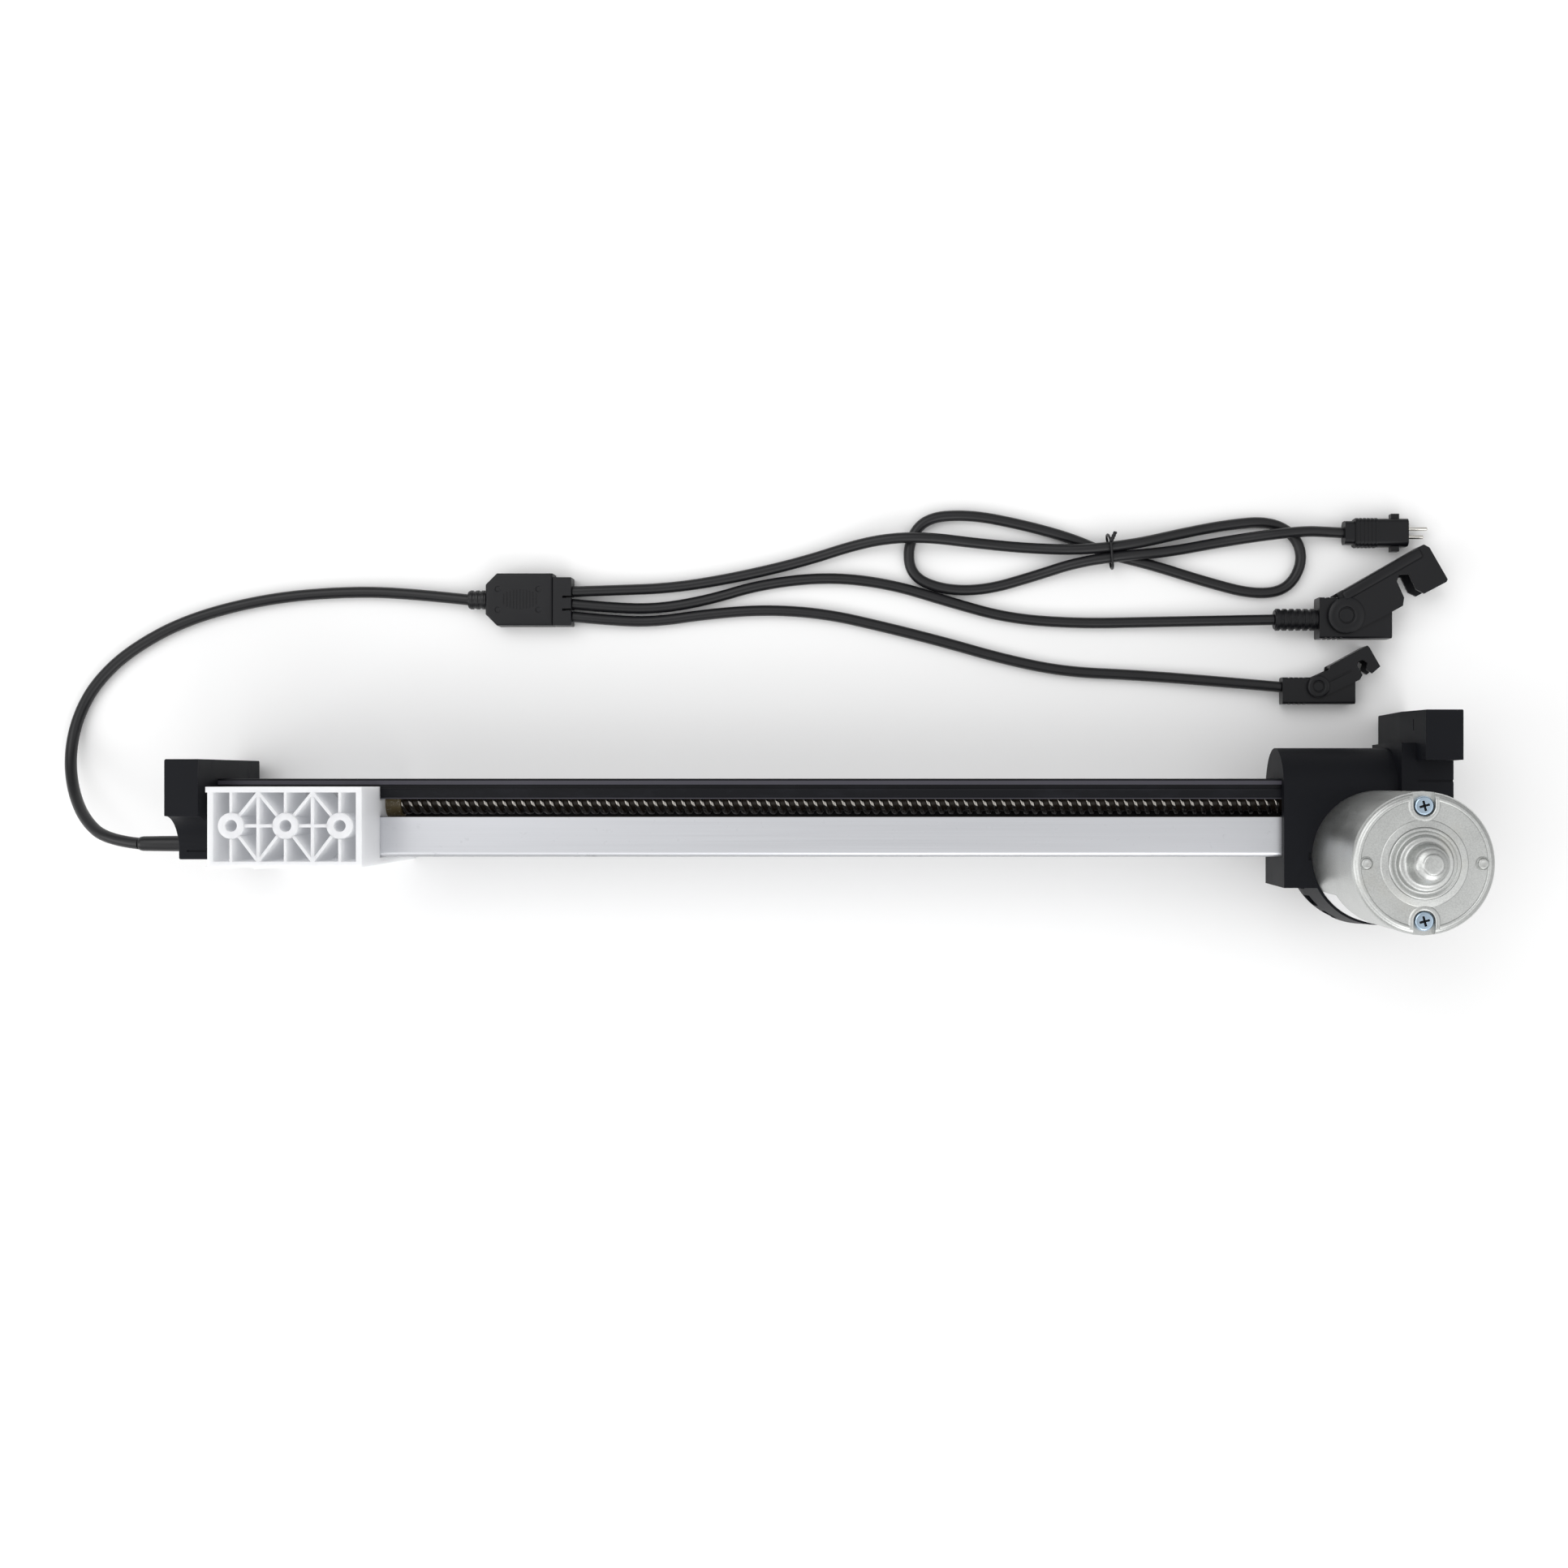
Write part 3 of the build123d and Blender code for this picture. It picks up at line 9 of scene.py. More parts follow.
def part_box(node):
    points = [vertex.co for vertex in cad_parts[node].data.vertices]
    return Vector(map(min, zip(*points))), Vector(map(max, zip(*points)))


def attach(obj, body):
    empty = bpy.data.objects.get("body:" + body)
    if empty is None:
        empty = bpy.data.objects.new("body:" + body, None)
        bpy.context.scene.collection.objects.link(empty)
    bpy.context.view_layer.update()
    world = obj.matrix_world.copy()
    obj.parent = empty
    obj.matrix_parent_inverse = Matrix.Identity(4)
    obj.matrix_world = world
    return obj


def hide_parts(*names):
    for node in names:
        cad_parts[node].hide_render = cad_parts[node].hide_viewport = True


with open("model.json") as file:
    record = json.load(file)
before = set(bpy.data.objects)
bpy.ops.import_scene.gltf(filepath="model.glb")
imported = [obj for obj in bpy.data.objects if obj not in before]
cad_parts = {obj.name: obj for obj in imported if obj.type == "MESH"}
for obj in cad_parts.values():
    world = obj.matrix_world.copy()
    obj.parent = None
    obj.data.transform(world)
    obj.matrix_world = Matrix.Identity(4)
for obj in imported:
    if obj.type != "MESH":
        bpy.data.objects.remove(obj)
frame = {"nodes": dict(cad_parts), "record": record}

bl_info = {
    "name": "Recliner Actuator",
    "version": (1, 0, 0),
    "blender": (4, 5, 0),
    "location": "View3D > Sidebar > Actuator",
    "description": "Builds the visible pieces of a lead-screw furniture actuator around its CAD frame",
    "category": "Add Mesh",
}

MM = 0.001
NODES = frame["nodes"]
SLOT_OF = {part["node"]: part["material_slot"] for part in frame["record"]["subparts"]}
BODY_OF = {
    node: body
    for body, members in frame["record"]["behaviour"]["bodies"].items()
    for node in members
}


def corners(node):
    """Lowest and highest corner of a CAD node, in metres."""
    low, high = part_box(node)
    return Vector(low), Vector(high)


# ---- sizes and colours that a user may change ------------------------------------------------
def length_prop(name, description, default):
    return bpy.props.FloatProperty(name=name, description=description, default=default, unit="LENGTH")


def colour_prop(name, description, default):
    return bpy.props.FloatVectorProperty(
        name=name, description=description, default=default, size=3, min=0, max=1, subtype="COLOR"
    )


class ActuatorSizes(bpy.types.PropertyGroup):
    """Sizes of the pieces that are made here rather than carried over."""

    crest_radius: length_prop("Screw crest radius", "Radius over the thread's crests", 5.0 * MM)
    root_radius: length_prop("Screw root radius", "Radius at the thread's root", 3.7 * MM)
    thread_pitch: length_prop("Thread pitch", "Distance from crest to crest", 4.0 * MM)
    thread_starts: bpy.props.IntProperty(name="Thread starts", description="Threads side by side", default=2)
    edge: length_prop("Edge rounding", "Radius broken on the edges of moulded pieces", 0.3 * MM)
    cable: length_prop("Cable diameter", "Diameter of the main cable", 5.0 * MM)
    lead: length_prop("Lead diameter", "Diameter of the three leads", 4.8 * MM)
    camera_height: length_prop("Camera height", "Height of the camera above the floor", 790 * MM)


class ActuatorColours(bpy.types.PropertyGroup):
    """Base colours of the finishes."""

    housing: colour_prop("Housing", "Moulded housings and bars", (0.0042, 0.0048, 0.0070))
    strip: colour_prop("Cover strip", "Strip along the rail", (0.0060, 0.0064, 0.0092))
    sheath: colour_prop("Cable sheath", "Cables and leads", (0.0040, 0.0041, 0.0052))
    fitting: colour_prop("Plug and sockets", "Moulded plug, sockets and splitter", (0.0040, 0.0042, 0.0055))
    nylon: colour_prop("Slider", "White slider", (0.66, 0.665, 0.68))
    aluminium: colour_prop("Rail", "Extruded rail", (0.66, 0.67, 0.70))
    zinc: colour_prop("Motor", "Plated motor can", (0.50, 0.51, 0.50))
    blue_zinc: colour_prop("Screw heads", "Bluish plated screws", (0.44, 0.55, 0.66))
    steel: colour_prop("Lead screw", "Greasy rolled steel", (0.42, 0.40, 0.37))


def sizes():
    return bpy.context.scene.actuator_sizes


def colours():
    return bpy.context.scene.actuator_colours


# ---- shader graphs ---------------------------------------------------------------------------
def set_stops(node, stops):
    """Fills a grey colour ramp with (position, level) stops."""
    elements = node.color_ramp.elements
    while len(elements) < len(stops):
        elements.new(0.5)
    for element, (position, level) in zip(elements, stops):
        element.position = position
        element.color = (level, level, level, 1)


class Signal:
    """One output of a shader graph. Arithmetic on it adds Math nodes."""

    def __init__(self, graph, socket):
        self.graph = graph
        self.socket = socket

    def maths(self, operation, *values):
        return self.graph.node("ShaderNodeMath", {"operation": operation}, dict(enumerate(values)))

    def __add__(self, other):
        return self.maths("ADD", self, other)

    def __sub__(self, other):
        return self.maths("SUBTRACT", self, other)

    def __rsub__(self, other):
        return self.maths("SUBTRACT", other, self)

    def __mul__(self, other):
        return self.maths("MULTIPLY", self, other)

    def __lt__(self, other):
        return self.maths("LESS_THAN", self, other)

    def __gt__(self, other):
        return self.maths("GREATER_THAN", self, other)

    __radd__ = __add__
    __rmul__ = __mul__


class Graph:
    """One material: its nodes, its Principled shader and its Object coordinates."""

    def __init__(self, name):
        self.material = bpy.data.materials.new(name)
        self.material.use_nodes = True
        self.tree = self.material.node_tree
        self.tree.nodes.clear()
        self.place = self.node("ShaderNodeTexCoord", out="Object")
        self.shader = self.tree.nodes.new("ShaderNodeBsdfPrincipled")
        output = self.tree.nodes.new("ShaderNodeOutputMaterial")
        self.tree.links.new(self.shader.outputs["BSDF"], output.inputs["Surface"])

    def feed(self, socket, value):
        if isinstance(value, Signal):
            self.tree.links.new(value.socket, socket)
        elif hasattr(socket.default_value, "__len__") and len(value) == 3 and len(socket.default_value) == 4:
            socket.default_value = (*value, 1)
        else:
            socket.default_value = value

    def node(self, kind, settings=None, inputs=None, out=0):
        """Any node: its type, its settings, the values or links of its sockets, and the output wanted."""
        made = self.tree.nodes.new(kind)
        for key, value in (settings or {}).items():
            if key == "stops":
                set_stops(made, value)
            else:
                setattr(made, key, value)
        for key, value in (inputs or {}).items():
            self.feed(made.inputs[key], value)
        return Signal(self, made.outputs[out])

    def axis(self, letter):
        """One Object coordinate, in metres."""
        return self.node("ShaderNodeSeparateXYZ", inputs={0: self.place}, out=letter)

    def stretched(self, stretch):
        return self.node("ShaderNodeMapping", inputs={"Vector": self.place, "Scale": stretch})

    def noise(self, size, detail=2.0, stretch=(1, 1, 1), roughness=0.5):
        """Noise whose features are about size metres across, longer along an axis with a small stretch."""
        return self.node(
            "ShaderNodeTexNoise",
            inputs={"Vector": self.stretched(stretch), "Scale": 1 / size, "Detail": detail,
                    "Roughness": roughness},
        )

    def ramp(self, value, *stops):
        return self.node("ShaderNodeValToRGB", {"stops": stops}, {0: value})

    def mix(self, factor, first, second):
        return self.node("ShaderNodeMix", {"data_type": "RGBA"}, {0: factor, 6: first, 7: second}, out=2)

    def bump(self, height, depth, strength=1.0):
        """Normals of a height field whose full range is depth metres."""
        return self.node("ShaderNodeBump", inputs={"Height": height, "Distance": depth, "Strength": strength})

    def finish(self, **sockets):
        for key, value in sockets.items():
            self.feed(self.shader.inputs[key.replace("_", " ")], value)
        return self.material


def shade(colour, factor):
    return tuple(min(1.0, channel * factor) for channel in colour)


def moulded(name, colour, gloss=0.45, grain=0.00035, specular=0.15):
    """Moulded dark plastic: fine grain, faint flow marks and slightly greyer scuffed patches."""
    graph = Graph(name)
    grain_noise = graph.noise(grain, 1.0)
    clouds = graph.noise(0.028, 3.0)
    scuffs = graph.ramp(graph.noise(0.0045, 5.0, (1.0, 0.35, 1.0), 0.7), (0.60, 0.0), (0.74, 1.0))
    colour_mix = graph.mix(clouds, shade(colour, 0.8), shade(colour, 1.3))
    return graph.finish(
        Base_Color=graph.mix(scuffs * 0.25, colour_mix, shade(colour, 2.4)),
        Roughness=gloss + 0.14 * clouds + 0.10 * scuffs + 0.08 * grain_noise,
        Specular_IOR_Level=specular,
        Normal=graph.bump(grain_noise + 0.5 * clouds, 0.00003, 0.6),
    )


def banded_strip(name, colour):
    """Glossy extruded strip: its ridge and its lip by the slot are painted paler than the rest, a painted
    highlight for the light these bands catch.
    """
    graph = Graph(name)
    across = graph.axis("Y")
    low, high = corners("cover_strip")
    # painted highlight: the ridge band and the lip by the slot are mixed towards a pale grey where light
    # catches them
    ridge = (across > high.y - 2.5 * MM) * (across < high.y - 0.85 * MM)
    lip = across < low.y + 0.5 * MM
    streaks = graph.noise(0.0025, 3.0, (0.03, 1, 1), 0.6)
    scuffs = graph.ramp(graph.noise(0.012, 4.0, (0.4, 1, 1), 0.7), (0.50, 0.0), (0.75, 1.0))
    base = graph.mix(scuffs * 0.6, shade(colour, 0.7), shade(colour, 1.9))
    return graph.finish(
        # painted highlight on the ridge and the lip
        Base_Color=graph.mix(ridge * 0.9 + lip * 0.7, base, (0.062, 0.060, 0.074)),
        Roughness=0.24 + 0.14 * streaks + 0.08 * scuffs,
        Specular_IOR_Level=0.18,
        Normal=graph.bump(streaks, 0.00003, 0.6),
    )


def speckled_nut(name, colour):
    """Oil-filled nut: olive brown with pale specks and dark grease."""
    graph = Graph(name)
    specks = graph.ramp(graph.noise(0.0007, 3.0, roughness=0.6), (0.60, 0.0), (0.68, 1.0))
    grease = graph.noise(0.0035, 4.0)
    base = graph.mix(grease, shade(colour, 0.5), shade(colour, 1.3))
    return graph.finish(
        Base_Color=graph.mix(specks * 0.8, base, (0.45, 0.42, 0.34)),
        Roughness=0.26 + 0.2 * grease,
        Normal=graph.bump(specks + grease, 0.00006, 0.6),
    )


def sheath(name, colour):
    """Soft cable sheath: satin, very faintly rippled and dusty."""
    graph = Graph(name)
    ripple = graph.noise(0.0016, 2.0)
    dust = graph.noise(0.009, 5.0, roughness=0.7)
    return graph.finish(
        Base_Color=graph.mix(dust, shade(colour, 0.75), shade(colour, 1.7)),
        Roughness=0.30 + 0.16 * dust,
        Specular_IOR_Level=0.42,
        Normal=graph.bump(ripple + 0.3 * dust, 0.00006, 0.5),
    )


def drawn_aluminium(name, colour):
    """Extruded aluminium: satin, with fine die lines along the rail, painted shade along its lower edge and a
    near-black painted shade on its upper side.
    """
    graph = Graph(name)
    lines = graph.noise(0.00035, 3.0, (0.004, 1, 1), 0.6)
    bands = graph.noise(0.004, 2.0, (0.01, 1, 1))
    marks = graph.ramp(graph.noise(0.006, 4.0, roughness=0.65), (0.62, 0.0), (0.72, 1.0))
    tone = graph.mix(0.6 * lines + 0.4 * bands, shade(colour, 0.92), shade(colour, 1.05))
    # painted shade: aluminium within 0.3 mm of the rail's upper side is painted near-black and made mostly
    # non-metallic, standing in for shade
    painted_shade_upper_side = graph.axis("Y") > corners("rail_profile")[1].y - 0.3 * MM
    # painted shade: the rail's lowest 0.55 mm is darkened to half its colour, a dark line standing in for the
    # shade on its lower edge
    painted_shade_lower_edge = graph.axis("Y") < corners("rail_profile")[0].y + 0.55 * MM
    # this mix darkens for the random marks and for the painted shade along the lower edge
    skin = graph.mix(marks * 0.25 + 0.75 * painted_shade_lower_edge, tone, shade(colour, 0.5))
    return graph.finish(
        # painted shade on the rail's upper side
        Base_Color=graph.mix(painted_shade_upper_side, skin, (0.012, 0.010, 0.008)),
        Metallic=1 - 0.8 * painted_shade_upper_side,
        Roughness=0.30 + 0.12 * lines + 0.10 * marks,
        Normal=graph.bump(lines, 0.000012, 0.7),
    )


def plated_steel(name, colour, grain=0.0006):
    """Zinc plate on pressed steel: mottled grey with a fine orange-peel grain and yellowish passivation."""
    graph = Graph(name)
    speck = graph.noise(grain, 4.0, roughness=0.7)
    clouds = graph.noise(0.012, 3.0)
    stain = graph.ramp(graph.noise(0.017, 4.0, (1, 1, 0.6)), (0.55, 0.0), (0.75, 1.0))
    tone = graph.mix(clouds, shade(colour, 0.80), shade(colour, 1.12))
    speckled = graph.mix(graph.ramp(speck, (0.38, 0.0), (0.60, 1.0)) * 0.55, tone, shade(colour, 1.32))
    warm = (colour[0] * 0.98, colour[1] * 0.92, colour[2] * 0.80)
    return graph.finish(
        Base_Color=graph.mix(stain * 0.35, speckled, warm),
        Metallic=1.0,
        Roughness=0.27 + 0.10 * clouds + 0.12 * speck,
        Normal=graph.bump(speck, 0.00002, 0.6),
    )


def machined(name, colour, roughness=0.25, metallic=1.0):
    """Turned or pressed small metal part with faint tool marks."""
    graph = Graph(name)
    marks = graph.noise(0.0005, 3.0)
    clouds = graph.noise(0.006, 2.0)
    return graph.finish(
        Base_Color=graph.mix(clouds, shade(colour, 0.82), shade(colour, 1.1)),
        Metallic=metallic,
        Roughness=roughness + 0.12 * marks,
        Normal=graph.bump(marks, 0.000008, 0.5),
    )


def greasy_shaded_steel(name, colour):
    """Rolled thread: bright crests, and a dark brown that thickens towards the root, partly grease and partly
    painted shade in the thread's hollows.
    """
    graph = Graph(name)
    low, high = corners("lead_screw")
    middle = (low + high) / 2
    centred = graph.node(
        "ShaderNodeMapping",
        inputs={"Vector": graph.place, "Location": (0, -middle.y, -middle.z), "Scale": (0, 1, 1)},
    )
    radius = graph.node("ShaderNodeVectorMath", {"operation": "LENGTH"}, {0: centred}, out="Value")
    film = graph.noise(0.004, 4.0, (0.7, 1, 1), 0.6)
    # grease and painted shade: the colour turns dark brown towards the root, standing for both the grease and
    # the shade between the crests
    bare_lit_crest = graph.ramp(
        (radius - sizes().root_radius) * (1 / (sizes().crest_radius - sizes().root_radius)) + 0.35 * film,
        (0.62, 0.0), (1.02, 1.0),
    )
    return graph.finish(
        Base_Color=graph.mix(bare_lit_crest, (0.030, 0.022, 0.015), colour),
        Metallic=0.25 + 0.75 * bare_lit_crest,
        Roughness=0.34 - 0.16 * bare_lit_crest,
        Normal=graph.bump(graph.noise(0.0012, 3.0), 0.00003, 0.4),
    )


def white_nylon(name, colour, painted_glow=0.0):
    """Natural nylon: milky, slightly translucent, with faint flow marks, a satin skin and an optional painted
    glow, an even emission that stands in for light passing through its walls.
    """
    graph = Graph(name)
    flow = graph.noise(0.012, 4.0, (1, 0.5, 1))
    grain = graph.noise(0.0006, 2.0)
    return graph.finish(
        Base_Color=graph.mix(flow, shade(colour, 0.95), shade(colour, 1.06)),
        Roughness=0.36 + 0.14 * flow,
        Subsurface_Weight=0.9,
        Subsurface_Radius=(1.0, 1.0, 1.0),
        Subsurface_Scale=0.009,
        # painted light: a constant emission makes the nylon glow, standing in for light passed through its
        # walls
        Emission_Color=(0.90, 0.92, 0.96),
        Emission_Strength=painted_glow,
        Normal=graph.bump(grain + 0.6 * flow, 0.00003, 0.5),
    )


def paper(name):
    """Blank label paper, slightly soiled."""
    graph = Graph(name)
    fibre = graph.noise(0.0009, 4.0, roughness=0.7)
    return graph.finish(
        Base_Color=graph.mix(fibre, (0.66, 0.66, 0.66), (0.80, 0.80, 0.81)),
        Roughness=0.62 + 0.1 * fibre,
        Normal=graph.bump(fibre, 0.00002, 0.4),
    )


def layered(name, colour, gap):
    """Stacked sheet or wound wire: fine lines across the shaft."""
    graph = Graph(name)
    lines = graph.node(
        "ShaderNodeTexWave",
        {"bands_direction": "Z"},
        {"Vector": graph.place, "Scale": 0.314 / gap, "Distortion": 0.3},
    )
    return graph.finish(
        Base_Color=graph.mix(lines, shade(colour, 0.6), shade(colour, 1.1)),
        Metallic=0.9,
        Roughness=0.32 + 0.15 * lines,
        Normal=graph.bump(lines, 0.0001, 0.6),
    )


def all_finishes():
    """One material for each slot of the record, and two more for the motor's small parts."""
    tint = colours()
    return {
        "rail_aluminium": drawn_aluminium("rail_aluminium", tint.aluminium),
        "black_abs": banded_strip("black_abs", tint.strip),
        "black_nylon": moulded("black_nylon", tint.housing, 0.44),
        "screw_steel": greasy_shaded_steel("screw_steel", tint.steel),
        "sintered_bronze": machined("sintered_bronze", (0.52, 0.34, 0.17), 0.38),
        "bearing_steel": machined("bearing_steel", (0.66, 0.66, 0.68), 0.14),
        # painted light: the slider's nylon gets a painted glow of strength 0.09
        "white_nylon": white_nylon("white_nylon", tint.nylon, 0.09),
        "nut_brown": speckled_nut("nut_brown", (0.15, 0.115, 0.055)),
        "zinc_screw": machined("zinc_screw", tint.blue_zinc, 0.16),
        "wheel_acetal": white_nylon("wheel_acetal", (0.72, 0.70, 0.62)),
        "zinc_plated_steel": plated_steel("zinc_plated_steel", tint.zinc),
        "ferrite": moulded("ferrite", (0.05, 0.05, 0.052), 0.6, 0.0005),
        "lamination_steel": layered("lamination_steel", (0.34, 0.34, 0.36), 0.0005),
        "enamelled_copper": layered("enamelled_copper", (0.45, 0.17, 0.06), 0.0007),
        "copper": machined("copper", (0.72, 0.38, 0.24), 0.22),
        "cable_black": sheath("cable_black", tint.sheath),
        "connector_black": moulded("connector_black", tint.fitting, 0.27, 0.0005, 0.30),
        "contact_tin": machined("contact_tin", (0.74, 0.72, 0.68), 0.18),
        "label_paper": paper("label_paper"),
    }


FINISH = {}


# ---- making pieces ---------------------------------------------------------------------------
def keep_piece(made, slot, body, stands_for=(), finish=None):
    """Gives a piece its finish and its body, and hides the CAD nodes that it stands for."""
    bpy.context.scene.collection.objects.link(made)
    made.data.materials.append(FINISH[finish or slot])
    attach(made, body)
    if stands_for:
        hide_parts(*stands_for)
    return made


def crease(bm, angle, strips=()):
    """Smooth faces, with a sharp edge at each bend over angle degrees and along the border of strips."""
    strips = set(strips)
    for face in bm.faces:
        face.smooth = True
    for line in bm.edges:
        border = len(line.link_faces) == 2 and len(strips.intersection(line.link_faces)) == 1
        line.smooth = not border and line.calc_face_angle(0) < math.radians(angle)


def mesh_piece(name, bm, slot, body, stands_for=(), finish=None):
    """Turns a bmesh into a piece."""
    mesh = bpy.data.meshes.new(name)
    bm.to_mesh(mesh)
    bm.free()
    return keep_piece(bpy.data.objects.new(name, mesh), slot, body, stands_for, finish)


def made_piece(name, bm, slot, body, stands_for=(), finish=None, angle=35):
    """A piece shaped here: its normals are turned outwards and its bends creased."""
    bmesh.ops.recalc_face_normals(bm, faces=bm.faces)
    crease(bm, angle)
    return mesh_piece(name, bm, slot, body, stands_for, finish)


def softened(node, edge, bend=30):
    """A merged copy of a CAD node's mesh with its sharp edges broken by a small bevel."""
    bm = bmesh.new()
    bm.from_mesh(NODES[node].data)
    bmesh.ops.remove_doubles(bm, verts=bm.verts, dist=0.004 * MM)
    bmesh.ops.dissolve_limit(bm, angle_limit=math.radians(0.6), verts=bm.verts, edges=bm.edges)
    sharp = [
        line for line in bm.edges
        if len(line.link_faces) == 2 and line.calc_face_angle(0) > math.radians(bend)
    ]
    broken = bmesh.ops.bevel(
        bm, geom=sharp, offset=edge, offset_type="OFFSET", segments=2, profile=0.5,
        affect="EDGES", clamp_overlap=True, material=-1,
    )
    crease(bm, bend, broken["faces"])
    return bm


def softened_piece(name, node, edge, **details):
    return mesh_piece(name, softened(node, edge), SLOT_OF[node], BODY_OF[node], (node,), **details)


def turned(profile, centre, axis, steps=96):
    """A closed body of revolution: profile holds (along, radius) pairs in metres, from end to end."""
    bm = bmesh.new()
    axis = Vector(axis)
    across = Vector((0, 1, 0)) if axis.x else Vector((1, 0, 0))
    points = [bm.verts.new(Vector(centre) + axis * along + across * radius) for along, radius in profile]
    lines = [bm.edges.new(pair) for pair in zip(points, points[1:])]
    bmesh.ops.spin(
        bm, geom=points + lines, cent=centre, axis=axis, angle=2 * math.pi, steps=steps, use_merge=True
    )
    bmesh.ops.remove_doubles(bm, verts=bm.verts, dist=0.001 * MM)
    return bm


def join(*meshes):
    """One bmesh that holds them all."""
    whole = bmesh.new()
    for part in meshes:
        loose = bpy.data.meshes.new("loose")
        part.to_mesh(loose)
        part.free()
        whole.from_mesh(loose)
        bpy.data.meshes.remove(loose)
    return whole


def bar(start, end, width, height, top, edge=0.4):
    """A bar with rounded edges, from start to end on a level face, its top at a height; millimetres."""
    run = Vector(end) - Vector(start)
    middle = (Vector(start) + Vector(end)) / 2
    bm = bmesh.new()
    bmesh.ops.create_cube(bm, size=1)
    bmesh.ops.scale(bm, vec=Vector((run.length, width, height)) * MM, verts=bm.verts)
    bmesh.ops.bevel(
        bm, geom=bm.edges[:], offset=edge * min(width, height) * MM, offset_type="OFFSET", segments=3,
        profile=0.5, affect="EDGES", clamp_overlap=True, material=-1,
    )
    bmesh.ops.rotate(bm, matrix=Matrix.Rotation(math.atan2(run.y, run.x), 3, "Z"), verts=bm.verts)
    bmesh.ops.translate(bm, vec=Vector((middle.x, middle.y, top - height / 2)) * MM, verts=bm.verts)
    return bm


# ---- stage -----------------------------------------------------------------------------------
TENT_STRENGTH = 1.3
FLOOR_HALF = 6  # half the width of the floor, in metres
LIGHTS = {  # place, target, size and power
    "overhead": ((-0.9, 1.1, 2.0), (0.0, 0.0, 0.0), 1.6, 12),
    "left": ((-1.8, -0.4, 0.9), (0.0, 0.0, 0.05), 1.0, 6),
    "front": ((0.6, -1.8, 1.2), (0.1, 0.0, 0.05), 1.2, 10),
}
LENS = {
    "sensor_width": 36, "lens": 40.3, "shift_x": -0.0678, "shift_y": -0.002, "clip_start": 0.01,
}


class ACTUATOR_OT_stage(bpy.types.Operator):
    """Pale floor, soft studio light and a camera straight above"""

    bl_idname = "actuator.stage"
    bl_label = "Stage"

    def execute(self, context):
        scene = bpy.context.scene
        scene.view_settings.view_transform = "Standard"
        scene.world = self.studio()
        bm = bmesh.new()
        bmesh.ops.create_grid(bm, x_segments=2, y_segments=2, size=FLOOR_HALF)
        mesh = bpy.data.meshes.new("floor")
        bm.to_mesh(mesh)
        bm.free()
        graph = Graph("floor")
        mesh.materials.append(graph.finish(Base_Color=(0.93, 0.93, 0.93), Roughness=0.7))
        floor = bpy.data.objects.new("floor", mesh)
        scene.collection.objects.link(floor)
        for name, (place, target, size, power) in LIGHTS.items():
            lamp = bpy.data.lights.new(name, "AREA")
            lamp.size = size
            lamp.energy = power
            holder = bpy.data.objects.new(name, lamp)
            holder.location = place
            aim = Vector(target) - Vector(place)
            holder.rotation_euler = aim.to_track_quat("-Z", "Y").to_euler()
            scene.collection.objects.link(holder)
        lens = bpy.data.cameras.new("camera")
        for key, value in LENS.items():
            setattr(lens, key, value)
        camera = bpy.data.objects.new("camera", lens)
        camera.location = (31 * MM, 16.05 * MM, sizes().camera_height)
        scene.collection.objects.link(camera)
        scene.camera = camera
        return {"FINISHED"}

    def studio(self):
        """Light tent: a dark opening overhead, a bright ring round it, and a dim horizon."""
        world = bpy.data.worlds.new("studio")
        world.use_nodes = True
        tree = world.node_tree
        place = tree.nodes.new("ShaderNodeTexCoord")
        parts = tree.nodes.new("ShaderNodeSeparateXYZ")
        tree.links.new(place.outputs["Generated"], parts.inputs[0])
        bands = {
            "Z": ((0.0, 0.13), (0.30, 0.50), (0.60, 1.0), (0.86, 1.0), (0.95, 0.62), (1.0, 0.50)),
            "Y": ((0.0, 1.0), (0.30, 0.72), (1.0, 0.45)),
        }
        levels = []
        for letter, stops in bands.items():
            ramp = tree.nodes.new("ShaderNodeValToRGB")
            set_stops(ramp, stops)
            tree.links.new(parts.outputs[letter], ramp.inputs[0])
            levels.append(ramp.outputs["Color"])
        both = tree.nodes.new("ShaderNodeMath")
        both.operation = "MULTIPLY"
        for socket, level in zip(both.inputs, levels):
            tree.links.new(level, socket)
        scaled = tree.nodes.new("ShaderNodeMath")
        scaled.operation = "MULTIPLY"
        scaled.inputs[1].default_value = TENT_STRENGTH
        tree.links.new(both.outputs[0], scaled.inputs[0])
        tree.links.new(scaled.outputs[0], tree.nodes["Background"].inputs["Strength"])
        tree.nodes["Background"].inputs["Color"].default_value = (1.0, 1.0, 1.0, 1)
        return world


# ---- splitter, plug and sockets ----------------------------------------------------------------
FITTING_EDGES = {  # radius broken on each fitting's edges, in millimetres
    "splitter_sleeve": 0.18, "splitter_body": 0.25, "splitter_comb": 0.2, "plug_a_body": 0.15,
    "plug_a_pins": 0.1, "socket_b_sleeve": 0.2, "socket_b_body": 0.15, "socket_b_contacts": 0.1,
    "socket_b_pin": 0.1, "socket_b_latch": 0.45, "socket_c_body": 0.12, "socket_c_contacts": 0.1,
    "socket_c_pin": 0.1, "socket_c_latch": 0.3,
}


